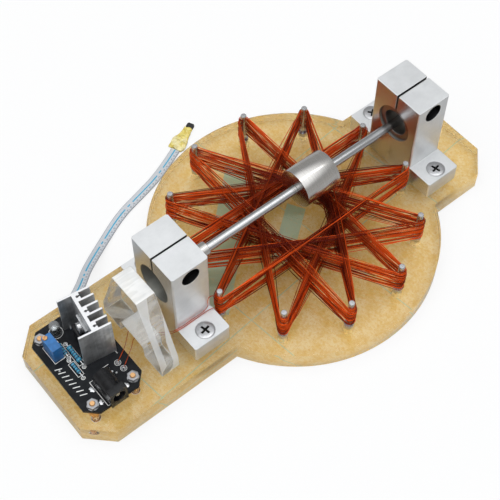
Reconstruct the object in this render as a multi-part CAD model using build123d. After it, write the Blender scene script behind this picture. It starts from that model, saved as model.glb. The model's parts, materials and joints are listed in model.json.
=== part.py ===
"""Demonstration electric motor: a bar magnet on a steel shaft floats over a star-wound coil.

Frame: X runs along the shaft, away from the circuit board, Y runs across the plate and Z up.
The origin is on the underside, below the centre of the ring of coil pins.  Millimetres.
"""
from build123d import *
import math
import os

import numpy as np

# ---- base: clear plate on a sheet of masking paper -------------------------------------
paper_thickness = 0.2
plate_thickness = 10.0
disc_radius = 73.0
tab_width = 70.0
left_tab_length = 71.3          # beyond the disc, at the board's end
right_tab_length = 33.0
left_tab_reach = disc_radius + left_tab_length
right_tab_reach = disc_radius + right_tab_length
tab_chamfer = 11.7
plate_top = paper_thickness + plate_thickness
small_sides = 12                # of slim pins, screws and their holes, so that they have few faces
round_sides = 24                # of small round pieces that show more

# ---- coil pins ---------------------------------------------------------------------------
pin_count = 12
pin_edge_distance = 12.3        # pin axis to the disc's edge
pin_circle_radius = disc_radius - pin_edge_distance
pin_first_angle = 15.0
pin_diameter = 3.0
pin_height = 18.9               # above the plate
pin_shank_diameter = 5.0        # pressed into the plate, its rim stands proud
pin_shank_depth = 3.0
pin_rim_height = 0.8
pin_tip_chamfer = 0.3

# ---- star winding: one wire, every chord joins pins that are five apart ------------------
wire_diameter = 0.42
wire_pin_gap = 0.05
star_step = 5
star_passes = 2
star_first_pin = 6              # counted from the pin at pin_first_angle
star_foot = 2.3                 # wire centre above the plate at the first chord
star_rise = 0.591               # gain in height from chord to chord

# ---- shaft supports ----------------------------------------------------------------------
support_setout = 0.4            # middle of a block beyond the disc's edge
support_spacing = 2 * (disc_radius + support_setout)
support_length = 20.0           # along the shaft
support_width = 30.0
support_edge_chamfer = 0.7
foot_width = 58.5
foot_thickness = 10.0
axis_height = 31.0              # shaft axis above the plate
support_bore = 20.0
slit_width = 1.0

foot_screw_pitch = 47.0
foot_screw_diameter = 5.0
foot_screw_head = 9.6
foot_screw_depth = 8.0          # below the foot, in the plate
foot_hole_clearance = 0.4       # on the diameter
cross_width = 1.1
cross_span = 5.0
cross_depth = 1.6

clamp_screw_diameter = 5.0
clamp_screw_wall = 1.5          # between bore and screw
clamp_screw_cover = 6.0         # screw axis to the block's top
clamp_screw_height = axis_height + support_bore / 2 + clamp_screw_wall + clamp_screw_diameter / 2
support_height = clamp_screw_height + clamp_screw_cover
clamp_screw_length = 18.0
clamp_head_diameter = 8.5
clamp_head_height = 5.0
clamp_head_setback = 3.0        # head below the side of the block
clamp_socket = 4.0              # hexagon across flats
clamp_socket_depth = 2.5
clamp_hole_clearance = 0.5      # on the diameter

# ---- magnets and shaft -------------------------------------------------------------------
stator_ring_inner = 14.0
ring_thickness = 5.0
stator_ring_recess = 1.1        # below the block's inner face

shaft_diameter = 4.5
blocks_outer = support_spacing / 2 + support_length / 2
blocks_inner = support_spacing / 2 - support_length / 2
shaft_left_overhang = 7.1       # beyond the left block, with the bar magnet in the middle
shaft_right_inset = 3.9         # inside the right block's outer face, likewise
shaft_left_reach = blocks_outer + shaft_left_overhang
shaft_right_reach = blocks_outer - shaft_right_inset
shaft_point_angle = 60.0
rotor_shift = 9.7               # the rotor as it floats, right of the disc's centre
rotor_magnet_diameter = 20.0
rotor_magnet_length = 20.0
shaft_ring_outer = 8.0
shaft_ring_lead = 0.1           # first ring on either side to the block's inner face, likewise
shaft_ring_reach = blocks_inner - shaft_ring_lead

# ---- clear end stop ----------------------------------------------------------------------
stop_thickness = 10.0
stop_height = 46.0
stop_offset = -3.0              # its middle, across the plate
stop_top_width = 18.0
stop_shoulder_width = 45.2
stop_shoulder_height = 8.0
stop_base_width = 46.0
stop_notch_width = 18.0
stop_notch_height = 8.0
stop_notch_radius = 2.0

# ---- circuit board -----------------------------------------------------------------------
board_length = 32.0             # along X
board_width = 52.0
board_thickness = 1.6
board_chamfer = 5.5
board_end_margin = 4.9          # board to the end of the plate
board_x = board_end_margin + board_length / 2 - left_tab_reach
board_y = 0.3
board_hole_x = 22.0             # pitch of its four holes
board_hole_y = 42.0
standoff_height = 5.0
standoff_flats = 5.0
board_screw_diameter = 2.5
board_screw_head = 4.7
nut_thickness = 2.0
stud_above_nut = 0.6
board_hole_clearance = 0.2      # on the diameter
lead_below_board = 1.0
board_top = plate_top + standoff_height + board_thickness

# ---- heat sink and transistor ------------------------------------------------------------
sink_x = 6.6                    # the spine's middle, from the board's middle
sink_y = 7.2
sink_turn = -8.5                # degrees about Z
sink_width = 22.6
sink_height = 25.0
sink_spine = 1.6
sink_fin_count = 6
sink_fin_thickness = 1.0
sink_fin_length = 7.7           # ahead of the spine
sink_wing_length = 6.7          # behind the spine, end plates only
sink_grip_wall = 1.9            # thickened web round each pin channel
sink_grip_bore = 1.3
sink_grip_slot = 0.7

transistor_width = 10.0
transistor_tab_height = 15.6
transistor_tab_thickness = 1.3
transistor_body_height = 9.0
transistor_body_depth = 4.5
transistor_hole_height = 14.4   # screw axis above the board
transistor_hole_edge = 2.8      # screw axis to the tab's top
transistor_leg_pitch = 2.54
transistor_leg_width = 0.8
transistor_leg_thickness = 0.45
transistor_leg_offset = 2.6     # legs to the tab's back
transistor_screw_diameter = 3.0
transistor_screw_head = 5.6
transistor_screw_head_height = 2.0
transistor_screw_reach = 4.4    # beyond the spine's back, tapped into the spine

# ---- trimmer -----------------------------------------------------------------------------
trimmer_x = -9.6
trimmer_y = 11.75
trimmer_length_x = 4.8
trimmer_length_y = 9.5
trimmer_height = 10.0
trimmer_screw_diameter = 2.3
trimmer_screw_height = 1.2
trimmer_screw_inset = 1.4       # screw axis from the two walls of its corner
trimmer_seat_depth = 0.6
trimmer_spindle_diameter = 1.2
trimmer_spindle_depth = 2.0
trimmer_running_gap = 0.04      # on the radius
trimmer_slot_width = 0.45
trimmer_slot_depth = 0.6

# ---- small parts on the board ------------------------------------------------------------
led_x = -3.1
led_y = 20.0
led_diameter = 5.0
led_flange_diameter = 5.8
led_flange_height = 1.0
led_height = 8.6
led_leg_pitch = 2.54

# x, y of the middle from the board's middle, body length, body diameter, span of its leads
resistors = {
    "resistor_1": (-5.95, 10.4, 6.4, 2.3, 10.2),
    "resistor_2": (-3.1, 4.7, 9.4, 2.6, 15.0),
    "resistor_3": (-6.6, -1.5, 6.4, 1.8, 11.4),
}
resistor_waist = 0.8            # middle of the body as a share of its end caps
resistor_cap = 1.6              # length of each end cap
resistor_lift = 0.3             # body above the board
resistor_lead_diameter = 0.5
resistor_lead_radius = 0.8

jack_x = -0.6
jack_y = -20.6
jack_width = 9.0
jack_length = 14.2
jack_height = 11.0
jack_collar = 3.5
jack_barrel_height = 10.4
jack_bore = 6.3
jack_bore_depth = 9.5
jack_axis_height = 6.4
jack_pin_diameter = 2.0
jack_pin_setback = 1.0
jack_edge_radius = 0.6

small_leg = 0.5                 # side of a square leg
solder_diameter = 2.2
solder_height = 1.0

# ---- leads of the coil to the board ------------------------------------------------------
# centre lines with heights above the plate; their ends at the coil are worked out below
lead_1_route = [
    (-61.3, -15.2, 16.5), (-63.1, -16.1, 20.0), (-65.2, -16.0, 20.6), (-65.7, -15.6, 16.8),
    (-65.4, -15.6, 12.8), (-67.8, -15.6, 10.5), (-74.6, -15.5, 10.4), (-81.4, -15.6, 10.5),
    (-85.1, -15.3, 10.7), (-85.0, -12.0, 5.2), (-86.2, -8.4, 1.2), (-90.0, -5.4, 0.5),
    (-93.6, 0.8, 0.5), (-97.4, 4.2, 0.6), (-101.6, 0.0, 1.2), (-105.2, -4.6, 5.6),
    (-109.2, -8.6, 9.4),
]
lead_2_route = [
    (-61.2, -17.45, 2.35), (-62.7, -17.5, 6.2), (-62.7, -17.4, 11.0), (-66.2, -16.4, 10.6),
    (-73.6, -16.3, 10.4), (-81.0, -16.4, 10.5), (-85.9, -16.1, 10.9), (-86.0, -12.4, 5.0),
    (-87.2, -9.2, 1.2), (-91.2, -6.8, 0.5), (-94.6, -2.8, 0.5), (-98.8, -1.4, 0.6),
    (-102.8, -5.4, 1.2), (-106.2, -9.2, 6.0), (-109.6, -12.8, 9.4),
]
lead_pad_1 = (9.9, -10.6)       # from the board's middle
lead_pad_2 = (10.4, -14.6)

# ---- flat sensor cable, heights above the floor ------------------------------------------
ribbon_width = 5.0
ribbon_thickness = 0.9
ribbon_route = [
    (-118.2, 24.2, 17.4), (-109.6, 30.0, 17.5), (-101.8, 36.4, 13.4), (-93.5, 45.2, 7.6),
    (-76.7, 57.1, 0.6), (-59.6, 65.6, 0.6), (-44.4, 69.4, 0.6), (-27.8, 73.9, 0.6),
    (-12.4, 81.4, 0.6),
]
tape_outline = [(0.0, -2.6), (2.0, -4.3), (6.2, -3.6), (13.6, -2.2), (16.0, -2.4),
                (16.4, 2.6), (11.5, 3.2), (6.0, 5.0), (1.0, 4.4)]
tape_thickness = 1.9
sensor_length = 3.0
sensor_width = 4.0
sensor_thickness = 1.5
sensor_gap = 0.0                # between tape and sensor body


# ---- helpers -----------------------------------------------------------------------------
def along_x(length, diameter, x, z=plate_top + axis_height):
    """A solid cylinder on the shaft's axis, from x towards +X."""
    return Pos(x, 0, z) * Rot(0, 90, 0) * Cylinder(
        diameter / 2, length, align=(Align.CENTER, Align.CENTER, Align.MIN))


def upright(diameter, low, high, x=0.0, y=0.0):
    """A vertical cylinder between two heights."""
    return Pos(x, y, low) * Cylinder(
        diameter / 2, high - low, align=(Align.CENTER, Align.CENTER, Align.MIN))


def peg(diameter, low, high, x=0.0, y=0.0):
    """A slim upright pin or its hole; pegs of one diameter fit face to face."""
    face = RegularPolygon(diameter / 2, small_sides)
    return Pos(x, y, low) * extrude(face, high - low)


def ring_points(radius, height, sides):
    """Corners of a many-sided outline at one height."""
    turns = [2 * math.pi * k / sides for k in range(sides)]
    return [Vector(radius * math.cos(turn), radius * math.sin(turn), height) for turn in turns]


def flat_face(*corners):
    """A flat face through its corners."""
    return Face(Wire.make_polygon(corners, close=True))


def tapered(profile, x=0.0, y=0.0, sides=small_sides):
    """A small round piece through (radius, height) points, with as many flats as a peg."""
    rings = [ring_points(radius, height, sides) for radius, height in profile]
    faces = [flat_face(*rings[0]), flat_face(*rings[-1])]
    for low, high in zip(rings, rings[1:]):
        corners = zip(low, low[1:] + low[:1], high[1:] + high[:1], high)
        faces += [flat_face(*four) for four in corners]
    return Pos(x, y, 0) * Solid(Shell(faces))


def block(size_x, size_y, low, high, x=0.0, y=0.0):
    """A box centred on x, y between two heights."""
    return Pos(x, y, low) * Box(
        size_x, size_y, high - low, align=(Align.CENTER, Align.CENTER, Align.MIN))


def hexagon(flats, low, high, x=0.0, y=0.0):
    """A vertical hexagonal prism of the given width across flats."""
    face = RegularPolygon(flats / 2, 6, major_radius=False)
    return Pos(x, y, low) * extrude(face, high - low)


def together(shapes):
    """Several loose solids in one part."""
    return Compound(children=[piece.solid() for piece in shapes])


def board_spot(dx, dy):
    """Place on the plate of a point given from the board's middle."""
    return board_x + dx, board_y + dy


def pin_spots():
    """Centres of the coil pins in order of angle."""
    for k in range(pin_count):
        angle = math.radians(pin_first_angle + 360.0 / pin_count * k)
        yield pin_circle_radius * math.cos(angle), pin_circle_radius * math.sin(angle)


def foot_screw_spots(x):
    """Centres of the two screws of the support at x."""
    return [(x, side * foot_screw_pitch / 2) for side in (-1, 1)]


def board_hole_spots():
    """Centres of the board's four fixings."""
    return [board_spot(i * board_hole_x / 2, j * board_hole_y / 2)
            for i in (-1, 1) for j in (-1, 1)]


def support_spots():
    """X of the left and the right support."""
    return -support_spacing / 2, support_spacing / 2


# ---- base --------------------------------------------------------------------------------
def plate_outline():
    """Disc with a chamfered tab on each side."""
    outline = Circle(disc_radius)
    for reach, side in ((left_tab_reach, -1), (right_tab_reach, 1)):
        tab = Pos(side * reach / 2, 0) * Rectangle(reach, tab_width)
        ends = tab.vertices().filter_by(lambda v: abs(v.X) > reach / 2)
        outline += chamfer(ends, tab_chamfer)
    return outline


def masking_paper():
    """Sheet left on the underside; the board's screws come up through it."""
    sheet = extrude(plate_outline(), paper_thickness)
    for x, y in board_hole_spots():
        sheet -= peg(board_screw_head, 0, paper_thickness, x, y)
    return sheet


def base_plate():
    """Clear plate with every hole that the pieces above it need."""
    plate = Pos(0, 0, paper_thickness) * extrude(plate_outline(), plate_thickness)
    for x, y in pin_spots():
        plate -= peg(pin_shank_diameter, paper_thickness, plate_top, x, y)
    for support_x in support_spots():
        for x, y in foot_screw_spots(support_x):
            plate -= peg(foot_screw_diameter, plate_top - foot_screw_depth, plate_top, x, y)
    for x, y in board_hole_spots():
        plate -= Pos(x, y, paper_thickness) * board_screw_blank(plate_thickness)
    return plate


def coil_pin(x, y):
    """Pressed-in pin: thick shank with a proud rim, slim post with a broken tip."""
    shank = peg(pin_shank_diameter, plate_top - pin_shank_depth, plate_top + pin_rim_height, x, y)
    post = peg(pin_diameter, plate_top, plate_top + pin_height, x, y)
    tip = post.faces().sort_by(Axis.Z)[-1].edges()
    return shank + chamfer(tip, pin_tip_chamfer)


# ---- winding -----------------------------------------------------------------------------
def star_lines():
    """Start, end and direction of each chord, which runs on the outer side of its pins."""
    centres = list(pin_spots())
    offset = pin_diameter / 2 + wire_pin_gap + wire_diameter / 2
    lines = []
    for i in range(star_passes * pin_count):
        a = Vector(*centres[(star_first_pin + star_step * i) % pin_count])
        b = Vector(*centres[(star_first_pin + star_step * (i + 1)) % pin_count])
        run = (b - a).normalized()
        side = Vector(run.Y, -run.X) * offset
        lines.append((a + side, b + side, run))
    return lines, offset


def star_corners():
    """Corner points of the wire: two for each pin that it turns round."""
    lines, offset = star_lines()
    half_turn = math.radians(180 - 180 * (pin_count - 2 * star_step) / pin_count) / 2
    reach = offset * math.tan(half_turn / 2)
    base = plate_top + star_foot
    points = [lines[0][0] + Vector(0, 0, base)]
    for i, (_, end, run) in enumerate(lines[:-1]):
        height = Vector(0, 0, base + star_rise * (i + 1))
        start, _, onward = lines[i + 1]
        points += [end + run * reach + height, start - onward * reach + height]
    points.append(lines[-1][1] + Vector(0, 0, base + star_rise * len(lines)))
    return points, offset


def star_path():
    """The wire's centre line, straight chords and tight turns about the pins."""
    points, offset = star_corners()
    turn = [0.95 * offset] * (len(points) - 2)
    return FilletPolyline(*points, radius=turn)


def tube(path, diameter):
    """A wire along a path, of square section so that it has few faces."""
    section = RegularPolygon(diameter / 2, 4, rotation=45)
    return sweep(Plane(path @ 0, z_dir=path % 0) * section, path=path)


def star_coil():
    """The winding as one unbroken wire."""
    return tube(star_path(), wire_diameter)


def sampled(path, spacing):
    """Points along a path, edge by edge."""
    points = []
    for edge in path.edges():
        count = max(2, math.ceil(edge.length / spacing))
        points += [tuple(edge.position_at(k / count)) for k in range(count)]
    return np.array(points, dtype=np.float32)


def least_self_gap(path, diameter, spacing=0.35):
    """Smallest clear distance of a wire to its own other turns, measured on points."""
    points = sampled(path, spacing)
    skip = int(8 / spacing)
    least = 1e9
    for i in range(0, len(points) - skip, 400):
        rows = points[i:i + 400]
        rest = points[i + skip:]
        gaps = np.linalg.norm(rows[:, None] - rest[None], axis=2)
        order = np.arange(len(rest))[None] >= np.arange(len(rows))[:, None]
        least = min(least, float(gaps[order].min()))
    return least - diameter


# ---- cords -------------------------------------------------------------------------------
def corner_radii(points):
    """As large an arc at each corner as its two runs allow."""
    radii = []
    for a, b, c in zip(points, points[1:], points[2:]):
        turn = math.radians((b - a).get_angle(c - b))
        shorter = min((b - a).length, (c - b).length)
        radii.append(0.45 * shorter / math.tan(turn / 2))
    return radii


def cord_path(name, points):
    """Straight runs joined by arcs; prints the radii."""
    radii = corner_radii(points)
    print(name, "radii", [round(r, 1) for r in radii])
    return FilletPolyline(*points, radius=radii)


def lead_points(route, coil_end, pad):
    """Route of a coil lead from the winding to its solder joint."""
    x, y = board_spot(*pad)
    joint = Vector(x, y, board_top + solder_height / 2)
    middle = [Vector(px, py, plate_top + pz) for px, py, pz in route]
    return [coil_end, *middle, joint]


def coil_lead(name, route, coil_end, pad):
    """One of the two wires between the winding and the board."""
    return tube(cord_path(name, lead_points(route, coil_end, pad)), wire_diameter)


def ribbon():
    """Flat cable from the board over the plate's edge and along the floor."""
    path = cord_path("sensor_cable", [Vector(*point) for point in ribbon_route])
    start = Plane(path @ 0, x_dir=Vector(0, 0, 1).cross(path % 0), z_dir=path % 0)
    section = start * Rectangle(ribbon_width, ribbon_thickness)
    return sweep(section, path=path), path


def sensor_end(path):
    """Tape wrap and sensor in line with the cable's last run."""
    end = path @ 1
    heading = math.degrees(math.atan2((path % 1).Y, (path % 1).X))
    return Pos(end.X, end.Y, 0) * Rot(0, 0, heading)


def sensor_tape(place):
    """Folded tape round the cable's end and the sensor's legs."""
    face = make_face(Polyline(*tape_outline, close=True))
    return place * extrude(face, tape_thickness)


def hall_sensor(place):
    """Small flat sensor body that peeps out of the tape."""
    reach = max(x for x, _ in tape_outline[:5]) + sensor_gap
    body = block(sensor_length, sensor_width, 0, sensor_thickness, reach + sensor_length / 2)
    edges = body.edges().filter_by(Axis.Z).sort_by(Axis.X)[-2:]
    return place * Pos(0.35, 0.1, 0.2) * chamfer(edges, 0.6)


# ---- supports ----------------------------------------------------------------------------
def eased_block(size_x, size_y, low, high):
    """A box with its upright edges broken."""
    body = block(size_x, size_y, low, high)
    return chamfer(body.edges().filter_by(Axis.Z), support_edge_chamfer)


def support():
    """Clamp block for a ring in its bore, on a foot with two screw holes."""
    axis_z = plate_top + axis_height
    body = eased_block(support_length, foot_width, plate_top, plate_top + foot_thickness)
    body += eased_block(support_length, support_width, plate_top, plate_top + support_height)
    body -= along_x(support_length, support_bore, -support_length / 2)
    body -= block(support_length, slit_width, axis_z, plate_top + support_height)
    for x, y in foot_screw_spots(0):
        hole = foot_screw_diameter + foot_hole_clearance
        body -= countersunk(foot_screw_head, hole, foot_thickness, x, y)
    return body - clamp_hole()


def countersunk(head, shank, depth, x, y):
    """Countersunk head and shank below the top of the foot."""
    top = plate_top + foot_thickness
    cone = (head - shank) / 2
    return tapered([(head / 2, top), (shank / 2, top - cone), (shank / 2, top - depth)], x, y)


def clamp_axis():
    """Frame of the clamp screw: origin on the block's near side, Z into the block."""
    return Pos(0, -support_width / 2, plate_top + clamp_screw_height) * Rot(-90, 0, 0)


def clamp_stack(head, shank, thread, head_depth):
    """Head, clearance and threaded lengths along the clamp screw's axis."""
    near = support_width / 2 - slit_width / 2
    end = clamp_head_setback + clamp_head_height + clamp_screw_length
    parts = upright(head, head_depth, clamp_head_setback + clamp_head_height)
    parts += peg(shank, clamp_head_setback, near)
    return parts + peg(thread, near, end)


def clamp_hole():
    """Recess, clearance hole and threaded hole for the clamp screw."""
    wide = clamp_head_diameter + 2 * clamp_hole_clearance
    loose = clamp_screw_diameter + clamp_hole_clearance
    return clamp_axis() * clamp_stack(wide, loose, clamp_screw_diameter, 0)


def clamp_screw():
    """Socket head screw that draws the slit together."""
    screw = clamp_stack(clamp_head_diameter, clamp_screw_diameter, clamp_screw_diameter,
                        clamp_head_setback)
    screw -= hexagon(clamp_socket, clamp_head_setback, clamp_head_setback + clamp_socket_depth)
    return clamp_axis() * screw


def foot_screw(x, y):
    """Countersunk cross-recess screw, flush with the foot."""
    screw = countersunk(foot_screw_head, foot_screw_diameter, foot_thickness + foot_screw_depth, x, y)
    top = plate_top + foot_thickness
    for size_x, size_y in ((cross_span, cross_width), (cross_width, cross_span)):
        screw -= block(size_x, size_y, top - cross_depth, top, x, y)
    return screw


# ---- magnets and shaft -------------------------------------------------------------------
def ring(outer, inner, x):
    """Ring magnet on the shaft's axis, from x towards +X."""
    return along_x(ring_thickness, outer, x) - along_x(ring_thickness, inner, x)


def ring_starts(near, middle=0.0):
    """Lower X of two rings in a row on either side of the middle."""
    places = [near + place * ring_thickness for place in (0, 1)]
    return [middle + x for x in places] + [middle - x - ring_thickness for x in places]


def stator_rings():
    """Two rings in each support's bore."""
    near = blocks_inner + stator_ring_recess
    return together([ring(support_bore, stator_ring_inner, x) for x in ring_starts(near)])


def shaft_ring(x):
    """Small ring magnet, its bore just round the shaft, from x towards +X."""
    face = RegularPolygon(shaft_ring_outer / 2, round_sides)
    face -= RegularPolygon(shaft_diameter / 2, round_sides, major_radius=False)
    return Pos(x, 0, plate_top + axis_height) * Rot(0, 90, 0) * extrude(face, ring_thickness)


def shaft_rings():
    """Two rings on the shaft on either side of the bar magnet."""
    return together([shaft_ring(x) for x in ring_starts(shaft_ring_reach, rotor_shift)])


def shaft():
    """Steel shaft with a pointed end on the stop's side."""
    point = shaft_diameter / 2 / math.tan(math.radians(shaft_point_angle / 2))
    left = rotor_shift - shaft_left_reach
    rod = along_x(shaft_left_reach + shaft_right_reach - point, shaft_diameter, left + point)
    tip = Pos(left + point, 0, plate_top + axis_height) * Rot(0, -90, 0) * Cone(
        shaft_diameter / 2, 0, point, align=(Align.CENTER, Align.CENTER, Align.MIN))
    return rod + tip


def rotor_magnet():
    """Bar magnet of round section, magnetised across, on the middle of the shaft."""
    start = rotor_shift - rotor_magnet_length / 2
    body = along_x(rotor_magnet_length, rotor_magnet_diameter, start)
    return body - along_x(rotor_magnet_length, shaft_diameter, start)


# ---- end stop ----------------------------------------------------------------------------
def end_stop():
    """Clear tapered block that the shaft's point can rest on, notched for the leads."""
    half = [(stop_base_width / 2, 0), (stop_shoulder_width / 2, stop_shoulder_height),
            (stop_top_width / 2, stop_height)]
    outline = half + [(-y, z) for y, z in reversed(half)]
    face = make_face(Polyline(*outline, close=True))
    notch = Rectangle(stop_notch_width, 2 * stop_notch_height)
    face -= fillet(notch.vertices(), stop_notch_radius)
    right = rotor_shift_free_end()
    place = Plane((right, stop_offset, plate_top), x_dir=(0, 1, 0), z_dir=(1, 0, 0))
    return place * extrude(face, -stop_thickness)


def rotor_shift_free_end():
    """Face of the stop: the shaft's point touches it when the rotor is centred."""
    return -shaft_left_reach


# ---- board and its fixings ---------------------------------------------------------------
def circuit_board():
    """Board with chamfered corners, four fixing holes and a hole for every leg."""
    low, high = board_top - board_thickness, board_top
    body = block(board_length, board_width, low, high, board_x, board_y)
    body = chamfer(body.edges().filter_by(Axis.Z), board_chamfer)
    for x, y in board_hole_spots():
        body -= peg(board_screw_diameter + board_hole_clearance, low, high, x, y)
    for legs in (transistor_legs(), led_legs(), trimmer_legs(), jack_legs()):
        body -= legs
    for name in resistors:
        body -= resistor_lead_holes(name)
    return body


def board_screw_blank(depth):
    """Countersunk shape of a board screw from the underside of the plate upwards."""
    cone = (board_screw_head - board_screw_diameter) / 2
    r_head, r_shank = board_screw_head / 2, board_screw_diameter / 2
    return tapered([(r_head, 0), (r_shank, cone), (r_shank, depth)])


def board_screws():
    """Countersunk screws from below, through plate, standoff, board and nut."""
    reach = plate_thickness + standoff_height + board_thickness + nut_thickness + stud_above_nut
    return together([Pos(x, y, paper_thickness) * board_screw_blank(reach)
                     for x, y in board_hole_spots()])


def board_standoffs():
    """Hexagonal spacers between plate and board."""
    return together([
        hexagon(standoff_flats, plate_top, plate_top + standoff_height, x, y)
        - peg(board_screw_diameter, plate_top, plate_top + standoff_height, x, y)
        for x, y in board_hole_spots()])


def board_nuts():
    """Nuts on top of the board."""
    return together([
        hexagon(standoff_flats, board_top, board_top + nut_thickness, x, y)
        - peg(board_screw_diameter, board_top, board_top + nut_thickness, x, y)
        for x, y in board_hole_spots()])


# ---- heat sink and transistor ------------------------------------------------------------
def sink_place():
    """Frame of the heat sink: origin at the spine's middle on the board."""
    x, y = board_spot(sink_x, sink_y)
    return Pos(x, y, board_top) * Rot(0, 0, sink_turn)


def sink_profile():
    """Spine, fins, end plates with wings, and the pin channels in alternate gaps."""
    pitch = (sink_width - sink_fin_thickness) / (sink_fin_count - 1)
    face = Rectangle(sink_spine, sink_width)
    for k in range(sink_fin_count):
        y = -sink_width / 2 + sink_fin_thickness / 2 + k * pitch
        back = sink_wing_length if k in (0, sink_fin_count - 1) else 0.0
        length = sink_spine + sink_fin_length + back
        middle = (sink_fin_length - back) / 2
        face += Pos(middle, y) * Rectangle(length, sink_fin_thickness)
    for k in range(0, sink_fin_count, 2):
        face = sink_grip(face, -sink_width / 2 + sink_fin_thickness / 2 + (k + 0.5) * pitch, pitch)
    return face


def sink_grip(face, y, pitch):
    """Thickened web with a round channel that a mounting pin would grip."""
    front = sink_spine / 2
    face += Pos(front + sink_grip_wall / 2, y) * Rectangle(sink_grip_wall, pitch - sink_fin_thickness)
    centre = front + sink_grip_bore / 2
    face -= Pos(centre, y) * RegularPolygon(sink_grip_bore / 2, small_sides)
    return face - Pos(centre + sink_grip_wall / 2, y) * Rectangle(sink_grip_wall, sink_grip_slot)


def heat_sink():
    """Extruded heat sink, bored for the transistor's screw."""
    body = extrude(sink_profile(), sink_height)
    tapped = peg(transistor_screw_diameter, -transistor_screw_reach, 0)
    return sink_place() * (body - screw_axis() * tapped)


def screw_axis():
    """Frame on the spine's back at the transistor's screw, Z away from the fins."""
    return Pos(-sink_spine / 2, 0, transistor_hole_height) * Rot(0, -90, 0)


def transistor_bottom():
    """Height of the transistor's lower end above the board."""
    return transistor_hole_height + transistor_hole_edge - transistor_tab_height


def transistor_tab():
    """Metal tab flat on the spine."""
    low = transistor_bottom()
    x = -sink_spine / 2 - transistor_tab_thickness / 2
    tab = block(transistor_tab_thickness, transistor_width, low, low + transistor_tab_height, x)
    tab -= screw_axis() * peg(transistor_screw_diameter, 0, transistor_tab_thickness)
    return sink_place() * tab


def transistor_body():
    """Moulded body in front of the tab."""
    low = transistor_bottom()
    depth = transistor_body_depth - transistor_tab_thickness
    x = -sink_spine / 2 - transistor_tab_thickness - depth / 2
    body = block(depth, transistor_width, low, low + transistor_body_height, x)
    edges = body.faces().sort_by(Axis.X)[0].edges()
    return sink_place() * chamfer(edges, 0.4)


def transistor_legs():
    """Three flat legs from the body down through the board."""
    x = -sink_spine / 2 - transistor_leg_offset
    low = -board_thickness - lead_below_board
    legs = [block(transistor_leg_thickness, transistor_leg_width, low, transistor_bottom(),
                  x, k * transistor_leg_pitch) for k in (-1, 0, 1)]
    return sink_place() * together(legs)


def transistor_screw():
    """Pan head screw through tab and spine."""
    tab = transistor_tab_thickness
    screw = peg(transistor_screw_diameter, -transistor_screw_reach, tab)
    head = peg(transistor_screw_head, tab, tab + transistor_screw_head_height)
    for size in ((3.2, 0.7), (0.7, 3.2)):
        top = tab + transistor_screw_head_height
        head -= block(*size, top - 0.9, top)
    return sink_place() * screw_axis() * (screw + head)


# ---- trimmer -----------------------------------------------------------------------------
def trimmer_screw_spot():
    """Axis of the adjusting screw, in the far outer corner of the trimmer."""
    x, y = board_spot(trimmer_x, trimmer_y)
    return (x - trimmer_length_x / 2 + trimmer_screw_inset,
            y + trimmer_length_y / 2 - trimmer_screw_inset)


def trimmer_body():
    """Multi-turn trimmer housing with a recess for its screw."""
    x, y = board_spot(trimmer_x, trimmer_y)
    top = board_top + trimmer_height
    seat = top - trimmer_seat_depth
    body = block(trimmer_length_x, trimmer_length_y, board_top, top, x, y)
    sx, sy = trimmer_screw_spot()
    wide = trimmer_screw_diameter + 4 * trimmer_running_gap
    body -= upright(wide, seat, top, sx, sy)
    spindle = trimmer_spindle_diameter + 2 * trimmer_running_gap
    return body - upright(spindle, seat - trimmer_spindle_depth, seat, sx, sy)


def trimmer_screw():
    """Slotted brass adjusting screw with its spindle."""
    x, y = trimmer_screw_spot()
    seat = board_top + trimmer_height - trimmer_seat_depth + trimmer_running_gap
    top = seat + trimmer_screw_height
    screw = upright(trimmer_screw_diameter, seat, top, x, y)
    low = seat - trimmer_spindle_depth + trimmer_running_gap
    screw += upright(trimmer_spindle_diameter, low, seat, x, y)
    slot = block(trimmer_screw_diameter, trimmer_slot_width, top - trimmer_slot_depth, top)
    return screw - Pos(x, y, 0) * Rot(0, 0, 35) * slot


def square_legs(spots, bottom=0.0):
    """Square legs through the board below the given spots."""
    low = board_top - board_thickness - lead_below_board
    return together([block(small_leg, small_leg, low, board_top + bottom, *board_spot(x, y))
                     for x, y in spots])


def trimmer_legs():
    """Three legs in a row."""
    return square_legs([(trimmer_x, trimmer_y + k * 2.54) for k in (-1, 0, 1)])


# ---- lamp, resistors, socket -------------------------------------------------------------
def led():
    """Clear lamp with a flange and a domed top."""
    r, flange = led_diameter / 2, led_flange_diameter / 2
    x, y = board_spot(led_x, led_y)
    low, straight = led_flange_height, led_height - r
    dome = [(r * math.cos(math.radians(a)), straight + r * math.sin(math.radians(a)))
            for a in (0, 28, 56)]
    profile = [(r, low), *dome, (0.2 * r, led_height)]
    base = tapered([(flange, 0), (flange, low)], sides=round_sides)
    return Pos(x, y, board_top) * (base + tapered(profile, sides=round_sides))


def led_legs():
    """Two legs of the lamp."""
    return square_legs([(led_x + k * led_leg_pitch / 2, led_y) for k in (-1, 1)])


def resistor_place(name):
    """Frame of a resistor: Z along its body, origin in its middle."""
    dx, dy, _, diameter, _ = resistors[name]
    x, y = board_spot(dx, dy)
    return Pos(x, y, board_top + resistor_lift + diameter / 2) * Rot(-90, 0, 0)


def resistor_body(name):
    """Dog-bone body: two end caps and a slimmer middle."""
    _, _, length, diameter, _ = resistors[name]
    r, waist, half = diameter / 2, diameter / 2 * resistor_waist, length / 2
    inner = half - resistor_cap
    half_side = [(r * 0.75, half), (r, half - 0.35), (r, inner + 0.3), (waist, inner)]
    profile = half_side + [(radius, -z) for radius, z in reversed(half_side)]
    return resistor_place(name) * tapered(profile)


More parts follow.
